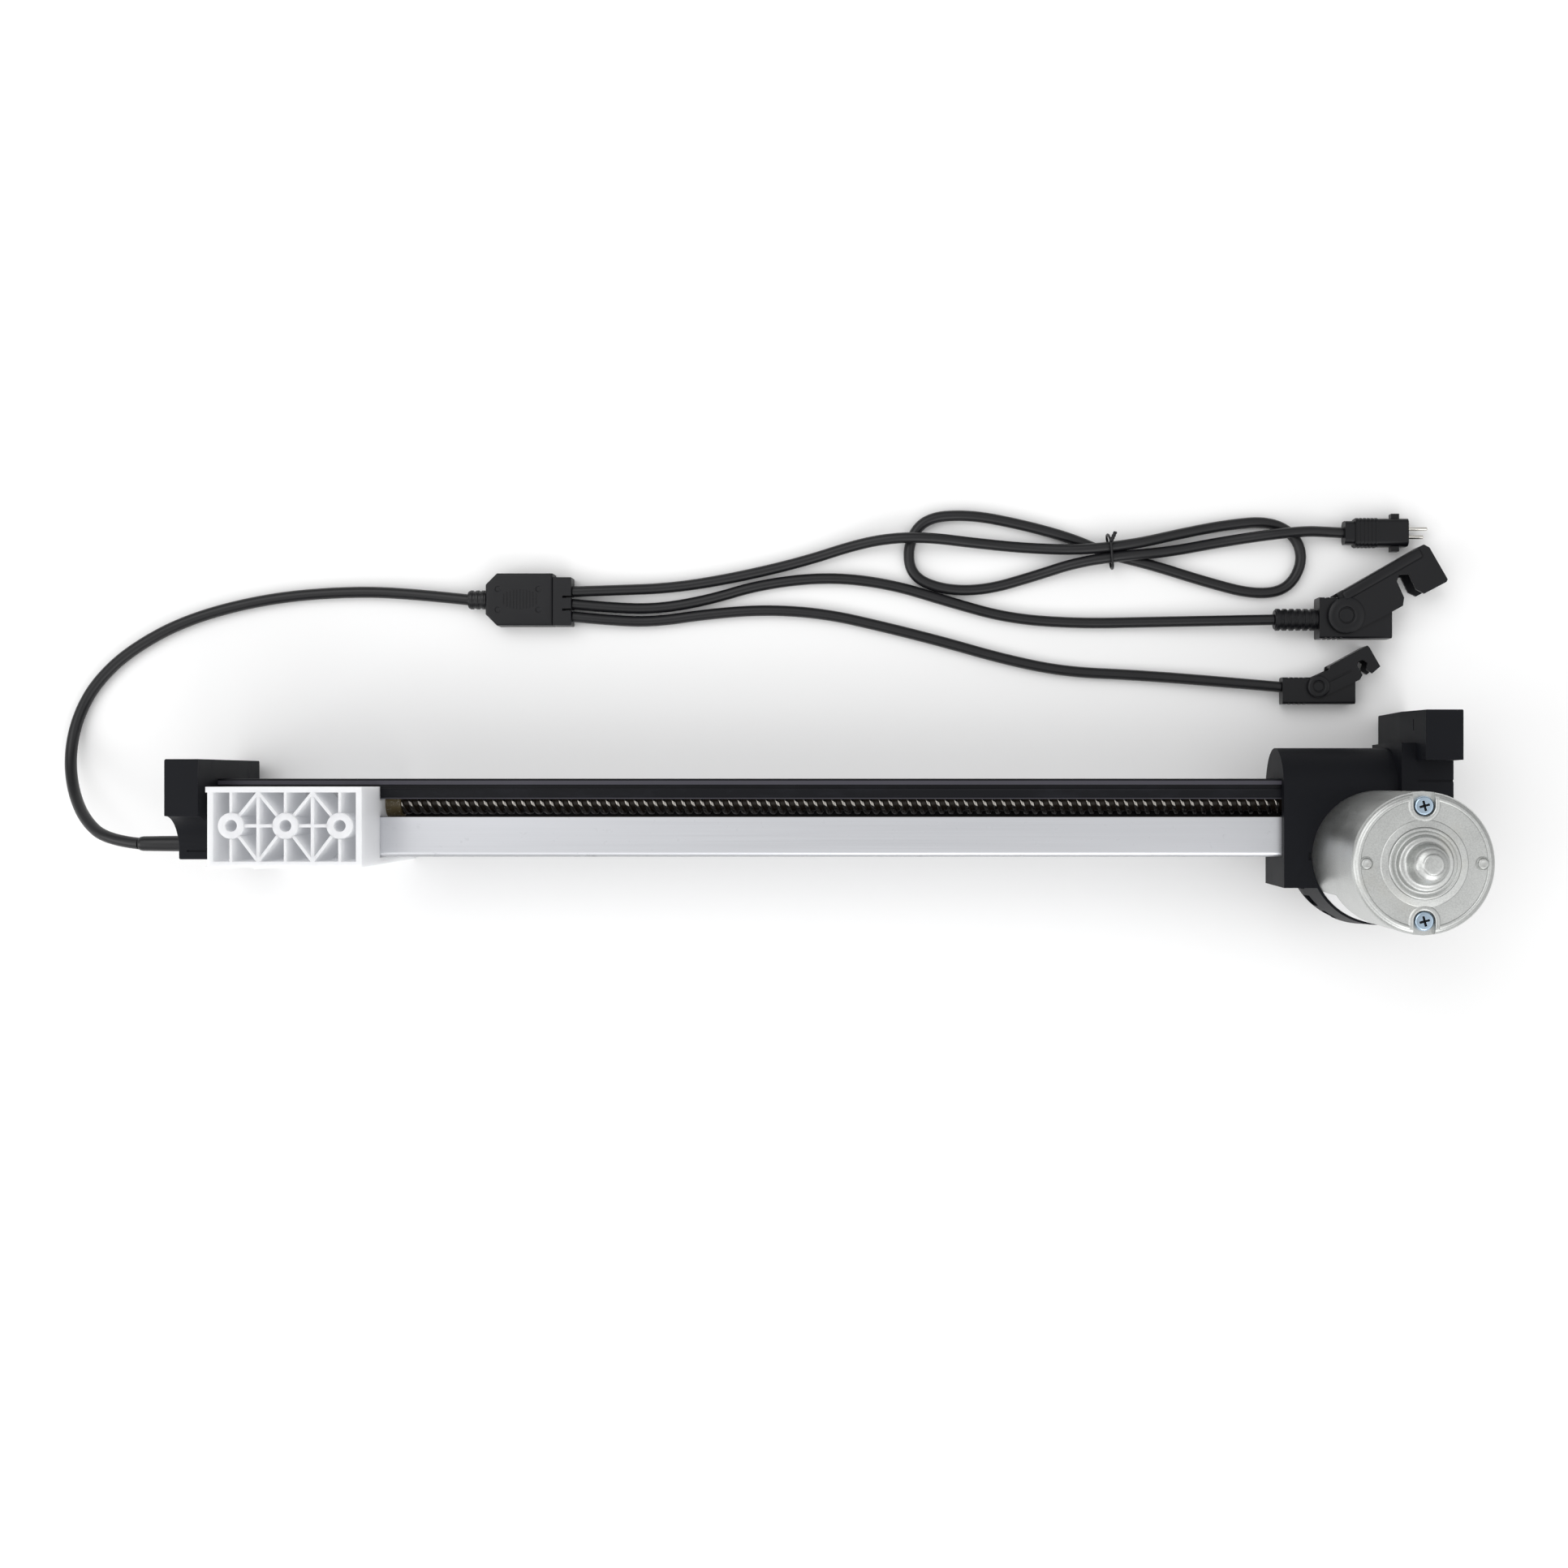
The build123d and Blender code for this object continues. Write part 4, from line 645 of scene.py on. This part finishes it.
class ACTUATOR_OT_fittings(bpy.types.Operator):
    """Splitter, plug and the two latching sockets"""

    bl_idname = "actuator.fittings"
    bl_label = "Splitter, plug and sockets"

    def execute(self, context):
        extras = {
            "splitter_body": self.grip_ribs, "socket_b_latch": self.latch_b_relief,
            "socket_c_latch": self.latch_c_relief,
        }
        for node, edge in FITTING_EDGES.items():
            bm = softened(node, edge * MM)
            if node in extras:
                details = join(*extras[node]())
                crease(details, 50)
                bm = join(bm, details)
            mesh_piece(f"{node}_moulding", bm, SLOT_OF[node], BODY_OF[node], (node,))
        return {"FINISHED"}

    def grip_ribs(self):
        """A plain oval of low ribs on the splitter's flat top."""
        low, high = corners("splitter_body")
        middle = (low + high) / 2 / MM
        ribs = []
        for i in range(-5, 6):
            half = 4.4 * math.sqrt(1 - (i / 6) ** 2)
            x = middle.x + 0.4 + 1.45 * i
            ribs.append(bar((x, middle.y - half), (x, middle.y + half), 0.6, 0.5, high.z / MM + 0.16))
        return ribs

    def hinge_disc(self, node, pin, disc_r):
        """A raised disc round the hinge pin, on the latch's upper plate."""
        low, high = corners(pin)
        centre = (low + high) / 2
        pin_r = (high.x - low.x) / 2
        top = corners(node)[1].z
        ring = [
            (-0.4, disc_r), (0.25, disc_r), (0.5, disc_r - 0.25), (0.5, pin_r / MM + 0.75),
            (0.35, pin_r / MM + 0.5), (-0.1, pin_r / MM + 0.35), (-0.4, pin_r / MM + 0.35), (-0.4, disc_r),
        ]
        profile = [(top + up * MM, r * MM) for up, r in ring]
        disc = turned(profile, (centre.x, centre.y, 0), (0, 0, 1), 64)
        bmesh.ops.recalc_face_normals(disc, faces=disc.faces)
        return centre / MM, top / MM, disc

    def latch_b_relief(self):
        """Hinge disc and the rounded spine along the outer edge of the arm."""
        centre, top, disc = self.hinge_disc("socket_b_latch", "socket_b_pin", 8.1)
        start, end = (centre.x - 1.6, centre.y + 8.1), (centre.x + 33.2, centre.y + 28.0)
        spine = bar(start, end, 5.0, 3.0, top + 0.9, 0.48)
        return disc, spine

    def latch_c_relief(self):
        """Hinge disc and the thin raised line on the arm."""
        centre, top, disc = self.hinge_disc("socket_c_latch", "socket_c_pin", 4.9)
        start, end = (centre.x + 3.4, centre.y + 1.7), (centre.x + 14.5, centre.y + 7.2)
        line = bar(start, end, 0.7, 0.6, top + 0.3)
        return disc, line


# ---- cords -----------------------------------------------------------------------------------
LIE = 2.6  # height of a lying cord's middle, in millimetres
MAIN_ROUTE = [
    (-289.7, -10.75, 40), (-305, -9.4, 36.6), (-319, -1.2, 27.2), (-330, 12, 15), (-335.5, 28, 6),
    (-333.5, 45, LIE), (-325, 60.5, LIE), (-309.5, 75, LIE), (-284, 88.8, LIE), (-248, 98, LIE),
    (-212, 101, LIE), (-184, 100, 3.4), (-157.4, 97, 4.6),
]
LEAD_A_ROUTE = [
    (-111, 100.7, 4.6), (-93, 101.4, 3.5), (-68, 102.4, LIE), (-41, 106.6, LIE), (-9, 114, LIE),
    (17, 122.2, 4.4), (34, 124.6, 7.4), (50, 124.4, 7.4), (68, 122.6, 4.0), (92, 120.2, 3.6),
    (116, 119.0, 6.8), (140, 121.6, 7.0), (162, 127.0, 3.6), (182, 130.9, LIE), (201, 132.6, LIE),
    (213, 126.0, LIE), (216.2, 114, LIE), (209, 101.6, LIE), (194, 99.6, LIE), (172, 105.4, LIE),
    (148, 113.0, LIE), (129, 117.6, LIE), (112, 125.0, LIE), (90, 131.0, LIE), (66, 135.6, LIE),
    (46, 134.0, LIE), (38.6, 121.5, LIE), (40.4, 107.6, LIE), (55, 101.6, LIE), (74, 101.6, LIE),
    (96, 108.0, LIE), (114, 113.6, 6.0), (134, 116.4, 7.2), (156, 118.6, 4.0), (180, 123.2, 3.4),
    (200, 125.8, 7.4), (216, 127.4, 7.4), (225, 127.4, 5.2), (233.6, 127, 4.6),
]
LEAD_B_ROUTE = [
    (-111, 95.1, 4.6), (-94, 93.6, 3.5), (-74, 93.1, LIE), (-51, 97, LIE), (-27, 104.2, LIE),
    (3, 107.6, LIE), (31, 104.4, LIE), (57, 96.4, LIE), (84, 88.9, LIE), (115, 86.6, LIE),
    (149, 87.2, 3.6), (177, 87.6, 5.4), (202, 87.9, 7),
]
LEAD_C_ROUTE = [
    (-111, 89.5, 4.6), (-94, 87.9, 3.5), (-75, 87.3, LIE), (-50, 91, LIE), (-24, 92.9, LIE),
    (2, 91, LIE), (27, 85.4, LIE), (54, 78.6, LIE), (82, 70.6, LIE), (109, 65, LIE),
    (141, 63.5, LIE), (174, 60.9, 3.8), (205.4, 58, 5.2),
]


def smooth_line(curve, points):
    """Adds a NURBS spline through control points given in metres."""
    spline = curve.splines.new("NURBS")
    spline.points.add(len(points) - 1)
    for point, place in zip(spline.points, points):
        point.co = (*place, 1)
    spline.order_u = 3
    spline.use_endpoint_u = True
    spline.resolution_u = 10


def round_curve(name, lines, radius, resolution, stands_for):
    """Smooth round strands along lines given in metres, as one piece."""
    curve = bpy.data.curves.new(name, "CURVE")
    curve.dimensions = "3D"
    for points in lines:
        smooth_line(curve, points)
    curve.bevel_depth = radius
    curve.bevel_resolution = resolution
    curve.use_fill_caps = True
    return keep_piece(bpy.data.objects.new(name, curve), "cable_black", "root", stands_for)


def cord_curve(name, route, diameter, *stands_for):
    """A smooth round cord along a route given in millimetres."""
    return round_curve(name, [[Vector(place) * MM for place in route]], diameter / 2, 7, stands_for)


class ACTUATOR_OT_cords(bpy.types.Operator):
    """Main cable, the three leads, the boot and the tie"""

    bl_idname = "actuator.cords"
    bl_label = "Cords"

    def execute(self, context):
        cable, lead = sizes().cable, sizes().lead
        boot = self.make_boot()
        tie = self.make_tie()
        main = cord_curve("main_cable_curve", MAIN_ROUTE, cable, "main_cable")
        lead_a = cord_curve("lead_a_curve", LEAD_A_ROUTE, lead, "lead_a", "lead_a_hank", "lead_a_tail")
        for letter, route in (("b", LEAD_B_ROUTE), ("c", LEAD_C_ROUTE)):
            curve = cord_curve(f"lead_{letter}_curve", route, lead, f"lead_{letter}")
        return {"FINISHED"}

    def make_boot(self):
        """Tapered strain relief that leaves the end cap."""
        low, high = corners("cable_boot")
        radius = (high.z - low.z) / 2
        middle = (low + high) / 2
        reach = high.x - low.x
        profile = [
            (0, 0), (0, radius), (0.10 * reach, radius), (0.30 * reach, radius * 0.985),
            (0.62 * reach, radius * 0.965), (0.93 * reach, radius * 0.93), (0.98 * reach, radius * 0.86),
            (reach, radius * 0.76), (reach, 0),
        ]
        bm = turned([(high.x - along, r) for along, r in profile], (0, middle.y, middle.z), (1, 0, 0), 48)
        return made_piece("cable_boot_sleeve", bm, "cable_black", "root", ("cable_boot",))

    def make_tie(self):
        """Thin plastic-coated wire round the waist of lead A's loops, its two ends twisted on top."""
        low, high = corners("cable_tie")
        x, y = (low.x + high.x) / 2, (low.y + high.y) / 2
        wrap_top, wire = high.z - 2.2 * MM, 0.55 * MM
        loop = [
            (x, y + 4.0 * MM, wrap_top), (x - 0.9 * MM, high.y - wire, wrap_top - 1.8 * MM),
            (x - 1.1 * MM, high.y - wire, low.z + 2.2 * MM), (x - 0.3 * MM, y + 4.5 * MM, low.z + wire),
            (x + 0.8 * MM, y - 4.5 * MM, low.z + wire), (x + 1.3 * MM, low.y + wire, low.z + 2.2 * MM),
            (x + 1.2 * MM, low.y + wire, wrap_top - 1.8 * MM), (x + 0.6 * MM, y - 4.0 * MM, wrap_top),
            (x, y + 3.6 * MM, wrap_top),
        ]
        strands = [loop]
        for phase in (0, math.pi):
            strands.append([
                (x + (0.55 * math.sin(phase + 1.5 * i) + 0.22 * i) * MM, y + (3.8 + 0.5 * i) * MM,
                 wrap_top + (0.55 * math.cos(phase + 1.5 * i) + 0.12 * i) * MM)
                for i in range(9)
            ])
        return round_curve("cable_tie_wire", strands, wire, 4, ("cable_tie",))


# ---- lead screw ------------------------------------------------------------------------------
class ACTUATOR_OT_screw(bpy.types.Operator):
    """Two-start lead screw with its real thread"""

    bl_idname = "actuator.screw"
    bl_label = "Lead screw"

    def execute(self, context):
        size = sizes()
        low, high = corners("lead_screw")
        y, z = (low.y + high.y) / 2, (low.z + high.z) / 2
        start, end = low.x + 6.4 * MM, high.x - 50 * MM
        lead = size.thread_pitch * size.thread_starts
        depth = size.crest_radius - size.root_radius
        flank = depth * math.tan(math.radians(17))
        crest = 0.34 * size.thread_pitch
        ridge = [
            (0, size.root_radius), (flank, size.crest_radius - 0.12 * MM),
            (flank + 0.12 * MM, size.crest_radius), (flank + crest - 0.12 * MM, size.crest_radius),
            (flank + crest, size.crest_radius - 0.12 * MM), (2 * flank + crest, size.root_radius),
        ]
        profile = [
            (along + i * size.thread_pitch, radius)
            for i in range(size.thread_starts)
            for along, radius in ridge
        ] + [(lead, size.root_radius)]
        bm = bmesh.new()
        points = [bm.verts.new((start - lead + along, y + radius, z)) for along, radius in profile]
        lines = [bm.edges.new(pair) for pair in zip(points, points[1:])]
        turns = math.ceil((end - start) / lead) + 2
        steps = 24
        bmesh.ops.spin(
            bm, geom=points + lines, cent=(0, y, z), axis=(1, 0, 0), dvec=(lead / steps, 0, 0),
            angle=2 * math.pi * turns, steps=steps * turns,
        )
        bmesh.ops.remove_doubles(bm, verts=bm.verts, dist=0.01 * MM)
        for place, side in ((start, -1), (end, 1)):
            cut = bmesh.ops.bisect_plane(
                bm, geom=bm.verts[:] + bm.edges[:] + bm.faces[:], plane_co=(place, y, z),
                plane_no=(side, 0, 0), clear_outer=True,
            )
            rim = [item for item in cut["geom_cut"] if isinstance(item, bmesh.types.BMEdge)]
            bmesh.ops.contextual_create(bm, geom=rim)
        tail = turned([(low.x, 0), (low.x, 2.6 * MM), (low.x + 0.4 * MM, 3 * MM), (start + 1 * MM, 3 * MM),
                       (start + 1 * MM, 0)], (0, y, z), (1, 0, 0), 32)
        journal = turned([(end - 1 * MM, 0), (end - 1 * MM, 4 * MM), (high.x - 0.5 * MM, 4 * MM),
                          (high.x, 3.5 * MM), (high.x, 0)], (0, y, z), (1, 0, 0), 32)
        made_piece("lead_screw_thread", join(bm, tail, journal), "screw_steel", "screw", ("lead_screw",),
                   angle=50)
        return {"FINISHED"}


# ---- rail, slider, end cap, gearbox ----------------------------------------------------------
class ACTUATOR_OT_rail(bpy.types.Operator):
    """Extruded rail, its cover strip and a black bar that stands in for the shade inside the rear slot"""

    bl_idname = "actuator.rail"
    bl_label = "Rail"

    def execute(self, context):
        softened_piece("rail_extrusion", "rail_profile", 0.25 * MM)
        softened_piece("cover_strip_moulding", "cover_strip", 0.18 * MM)
        low, high = (corner / MM for corner in corners("rail_profile"))
        # painted shade: a black bar closing the rear slot stands in for the shade seen through it
        lip = bar((low.x + 1, high.y + 0.9), (high.x - 1, high.y + 0.9), 2.9, 0.6, low.z + 2.9)
        made_piece("rear_slot_shade_bar", lip, "cable_black", "root")
        return {"FINISHED"}


class ACTUATOR_OT_slider(bpy.types.Operator):
    """White travelling slider and its nut"""

    bl_idname = "actuator.slider"
    bl_label = "Slider"

    def execute(self, context):
        softened_piece("slider_moulding", "slider_block", 0.22 * MM)
        softened_piece("slider_boss_rings", "slider_bosses", 0.22 * MM)
        softened_piece("drive_nut_sleeve", "drive_nut", 0.2 * MM)
        return {"FINISHED"}


class ACTUATOR_OT_end_cap(bpy.types.Operator):
    """End cap with the left mounting bar"""

    bl_idname = "actuator.end_cap"
    bl_label = "End cap"

    def execute(self, context):
        softened_piece("end_cap_moulding", "end_cap", 0.25 * MM)
        return {"FINISHED"}


class ACTUATOR_OT_gearbox(bpy.types.Operator):
    """Both gearbox halves with the right mounting bar"""

    bl_idname = "actuator.gearbox"
    bl_label = "Gearbox"

    def execute(self, context):
        softened_piece("gearbox_front_moulding", "gearbox_front_housing", sizes().edge)
        softened_piece("gearbox_rear_moulding", "gearbox_rear_housing", sizes().edge)
        return {"FINISHED"}


# ---- motor -----------------------------------------------------------------------------------
RECESS_HALF = 4.2 * MM  # half the width of each screw's recess in the end face
SCREW_REACH = 22 * MM  # from the motor's axis to each long screw
RIVET_REACH = 22.2 * MM
SCREW_TURNS = (15, 105)  # how the arms of each cross recess are turned, in degrees
LABEL_SPAN = (2.5 * MM, 24 * MM)  # the label's lower and upper edge above the can's lower end
LABEL_TURNS = (212, 252)  # its first and last edge round the can, in degrees


class ACTUATOR_OT_motor(bpy.types.Operator):
    """Plated can, stepped bearing cap, rivets, long screws and a blank label"""

    bl_idname = "actuator.motor"
    bl_label = "Motor"

    def execute(self, context):
        softened_piece("motor_can_shell", "motor_can", 0.25 * MM)
        softened_piece("motor_screw_heads", "motor_screws", 0.1 * MM)
        self.make_screw_crosses()
        low, high = corners("bearing_cap")
        self.centre = Vector(((low.x + high.x) / 2, (low.y + high.y) / 2, 0))
        self.face = low.z
        self.make_cap()
        self.make_lips()
        self.make_rivets()
        self.make_label()
        return {"FINISHED"}

    def turned_on_face(self, profile, spot=(0, 0), steps=96):
        """A body turned about an upright axis, its profile given in millimetres above the end face."""
        centre = self.centre + Vector((*spot, 0))
        return turned([(self.face + height * MM, r * MM) for height, r in profile], centre, (0, 0, 1), steps)

    def make_screw_crosses(self):
        """Shadowed bottoms of the cross recesses in both screw heads."""
        low, high = corners("motor_screws")
        middle = (low + high) / 2 / MM
        arms = []
        for side in (-1, 1):
            spot = Vector((middle.x, middle.y + side * SCREW_REACH / MM))
            for turn in SCREW_TURNS:
                reach = Vector((math.cos(math.radians(turn)), math.sin(math.radians(turn)))) * 1.9
                arms.append(bar(spot - reach, spot + reach, 0.86, 0.5, high.z / MM - 0.35))
        made_piece("motor_screw_recesses", join(*arms), "zinc_screw", "root", finish="black_nylon")

    def make_cap(self):
        """Drawn cap: a rolled foot, a step and a domed crown."""
        profile = [
            (0.0, 9.2), (0.0, 14.0), (0.35, 14.0), (0.8, 13.85), (1.1, 13.5), (1.2, 13.1), (1.12, 12.7),
            (0.85, 12.3), (0.6, 11.9), (0.55, 11.5), (0.75, 11.1), (1.5, 10.85), (2.3, 10.65), (2.8, 10.35),
            (3.05, 9.9), (3.1, 9.3), (3.2, 8.7), (3.6, 8.1), (4.3, 7.7), (5.4, 7.4), (7.0, 7.15), (8.6, 6.95),
            (9.6, 6.6), (10.3, 6.0), (10.8, 5.2), (11.1, 4.5), (11.3, 4.1), (11.65, 3.85), (11.82, 3.5),
            (11.88, 2.8), (11.88, 0),
        ]
        inner = [(10.7, 0), (10.7, 3.2), (9.0, 5.3), (3.0, 5.6), (1.8, 8.4), (0.0, 9.2)]
        made_piece("bearing_cap_drawn", self.turned_on_face(profile + inner), "zinc_plated_steel", "root",
                   ("bearing_cap",))

    def make_lips(self):
        """Pressed lips on the end face: one round its rim and one round each screw's recess."""
        rim = [
            (-0.3, 26.0), (-0.05, 26.0), (0.2, 25.7), (0.42, 25.2), (0.48, 24.7), (0.34, 24.35), (0.0, 24.1),
            (-0.3, 24.0),
        ]
        across = [(0.0, -0.3), (0.0, 0.2), (0.25, 0.38), (0.8, 0.42), (1.4, 0.36), (1.9, 0.0), (1.9, -0.3)]
        disc = self.turned_on_face([(-0.2, 0), (-0.2, 16.9), (0.0, 16.8), (0.2, 16.4), (0.2, 0)])
        lips = [disc]
        gap = math.radians(13)
        for side in (-1, 1):
            out = Matrix.Rotation(math.pi / 2 * side + gap, 3, "Z")
            bm = bmesh.new()
            section = bm.faces.new([
                bm.verts.new(self.centre + out @ Vector((r * MM, 0, self.face + up * MM))) for up, r in rim
            ])
            bmesh.ops.spin(
                bm, geom=[section], cent=self.centre, axis=(0, 0, 1), angle=math.pi - 2 * gap, steps=72
            )
            lips.append(bm)
        for side in (-1, 1):
            bm = bmesh.new()
            centre = self.centre + Vector((0, side * SCREW_REACH, 0))
            ends = bm.faces.new([
                bm.verts.new(centre + Vector((RECESS_HALF + out * MM, 0, self.face + up * MM)))
                for out, up in across
            ])
            spun = bmesh.ops.spin(
                bm, geom=[ends], cent=centre, axis=(0, 0, 1), angle=-side * math.pi, steps=28
            )
            last = [item for item in spun["geom_last"] if isinstance(item, bmesh.types.BMFace)]
            for face in (*last, ends):
                grown = bmesh.ops.extrude_face_region(bm, geom=[face])
                moved = [item for item in grown["geom"] if isinstance(item, bmesh.types.BMVert)]
                bmesh.ops.translate(bm, verts=moved, vec=(0, side * 2.6 * MM, 0))
                if face.is_valid:
                    bmesh.ops.delete(bm, geom=[face], context="FACES_ONLY")
            lips.append(bm)
        made_piece("motor_face_lips", join(*lips), "zinc_plated_steel", "root", angle=50)

    def make_rivets(self):
        """Two rivets, each in a small turned-up ring."""
        profile = [
            (-0.2, 0), (-0.2, 2.7), (0.1, 2.7), (0.3, 2.55), (0.3, 2.4), (0.1, 2.25), (0.2, 2.1), (0.7, 2.05),
            (1.0, 1.85), (1.12, 1.5), (1.02, 1.0), (0.9, 0.6), (0.9, 0),
        ]
        rivets = join(*[self.turned_on_face(profile, (side * RIVET_REACH, 0), 40) for side in (-1, 1)])
        made_piece("motor_rivet_heads", rivets, "zinc_plated_steel", "root", ("motor_rivets",), angle=50)

    def make_label(self):
        """Blank paper label wrapped round the lower side of the can."""
        low, high = corners("motor_can")
        radius = (high.x - low.x) / 2
        bottom, top = low.z + LABEL_SPAN[0], low.z + LABEL_SPAN[1]
        first, last = (math.radians(turn) for turn in LABEL_TURNS)
        bm = bmesh.new()
        out = Vector((math.cos(first), math.sin(first), 0))
        foot = [
            bm.verts.new(self.centre + out * (radius + gap) + Vector((0, 0, height)))
            for gap, height in ((0.02 * MM, bottom), (0.12 * MM, bottom), (0.12 * MM, top), (0.02 * MM, top))
        ]
        section = bm.faces.new(foot)
        bmesh.ops.spin(bm, geom=[section], cent=self.centre, axis=(0, 0, 1), angle=last - first, steps=24)
        made_piece("motor_label", bm, "zinc_plated_steel", "root", finish="label_paper")


class ACTUATOR_OT_carried(bpy.types.Operator):
    """Finish of every CAD node that is shown as it is"""

    bl_idname = "actuator.carried"
    bl_label = "Carried-over parts"

    def execute(self, context):
        for name, node in NODES.items():
            node.data.materials.clear()
            node.data.materials.append(FINISH[SLOT_OF[name]])
            node.data.shade_smooth()
            node.data.set_sharp_from_angle(angle=math.radians(30))
        return {"FINISHED"}


class ACTUATOR_PT_panel(bpy.types.Panel):
    """Lists the sizes, the colours and the operators"""

    bl_idname = "ACTUATOR_PT_panel"
    bl_label = "Recliner Actuator"
    bl_space_type = "VIEW_3D"
    bl_region_type = "UI"
    bl_category = "Actuator"

    def draw(self, context):
        for group in (context.scene.actuator_sizes, context.scene.actuator_colours):
            box = self.layout.box()
            for key in group.__annotations__:
                box.prop(group, key)
        for operator in OPERATORS:
            self.layout.operator(operator.bl_idname)


OPERATORS = [
    ACTUATOR_OT_stage, ACTUATOR_OT_fittings, ACTUATOR_OT_cords, ACTUATOR_OT_screw, ACTUATOR_OT_rail,
    ACTUATOR_OT_slider, ACTUATOR_OT_end_cap, ACTUATOR_OT_gearbox, ACTUATOR_OT_motor, ACTUATOR_OT_carried,
]
CLASSES = [ActuatorSizes, ActuatorColours, *OPERATORS, ACTUATOR_PT_panel]


def register():
    for each in CLASSES:
        bpy.utils.register_class(each)
    bpy.types.Scene.actuator_sizes = bpy.props.PointerProperty(type=ActuatorSizes)
    bpy.types.Scene.actuator_colours = bpy.props.PointerProperty(type=ActuatorColours)


def unregister():
    del bpy.types.Scene.actuator_colours
    del bpy.types.Scene.actuator_sizes
    for each in reversed(CLASSES):
        bpy.utils.unregister_class(each)


def main():
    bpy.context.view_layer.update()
    register()
    FINISH.update(all_finishes())
    for operator in OPERATORS:
        group, action = operator.bl_idname.split(".")
        getattr(getattr(bpy.ops, group), action)()
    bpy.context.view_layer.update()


if __name__ == "__main__":
    main()
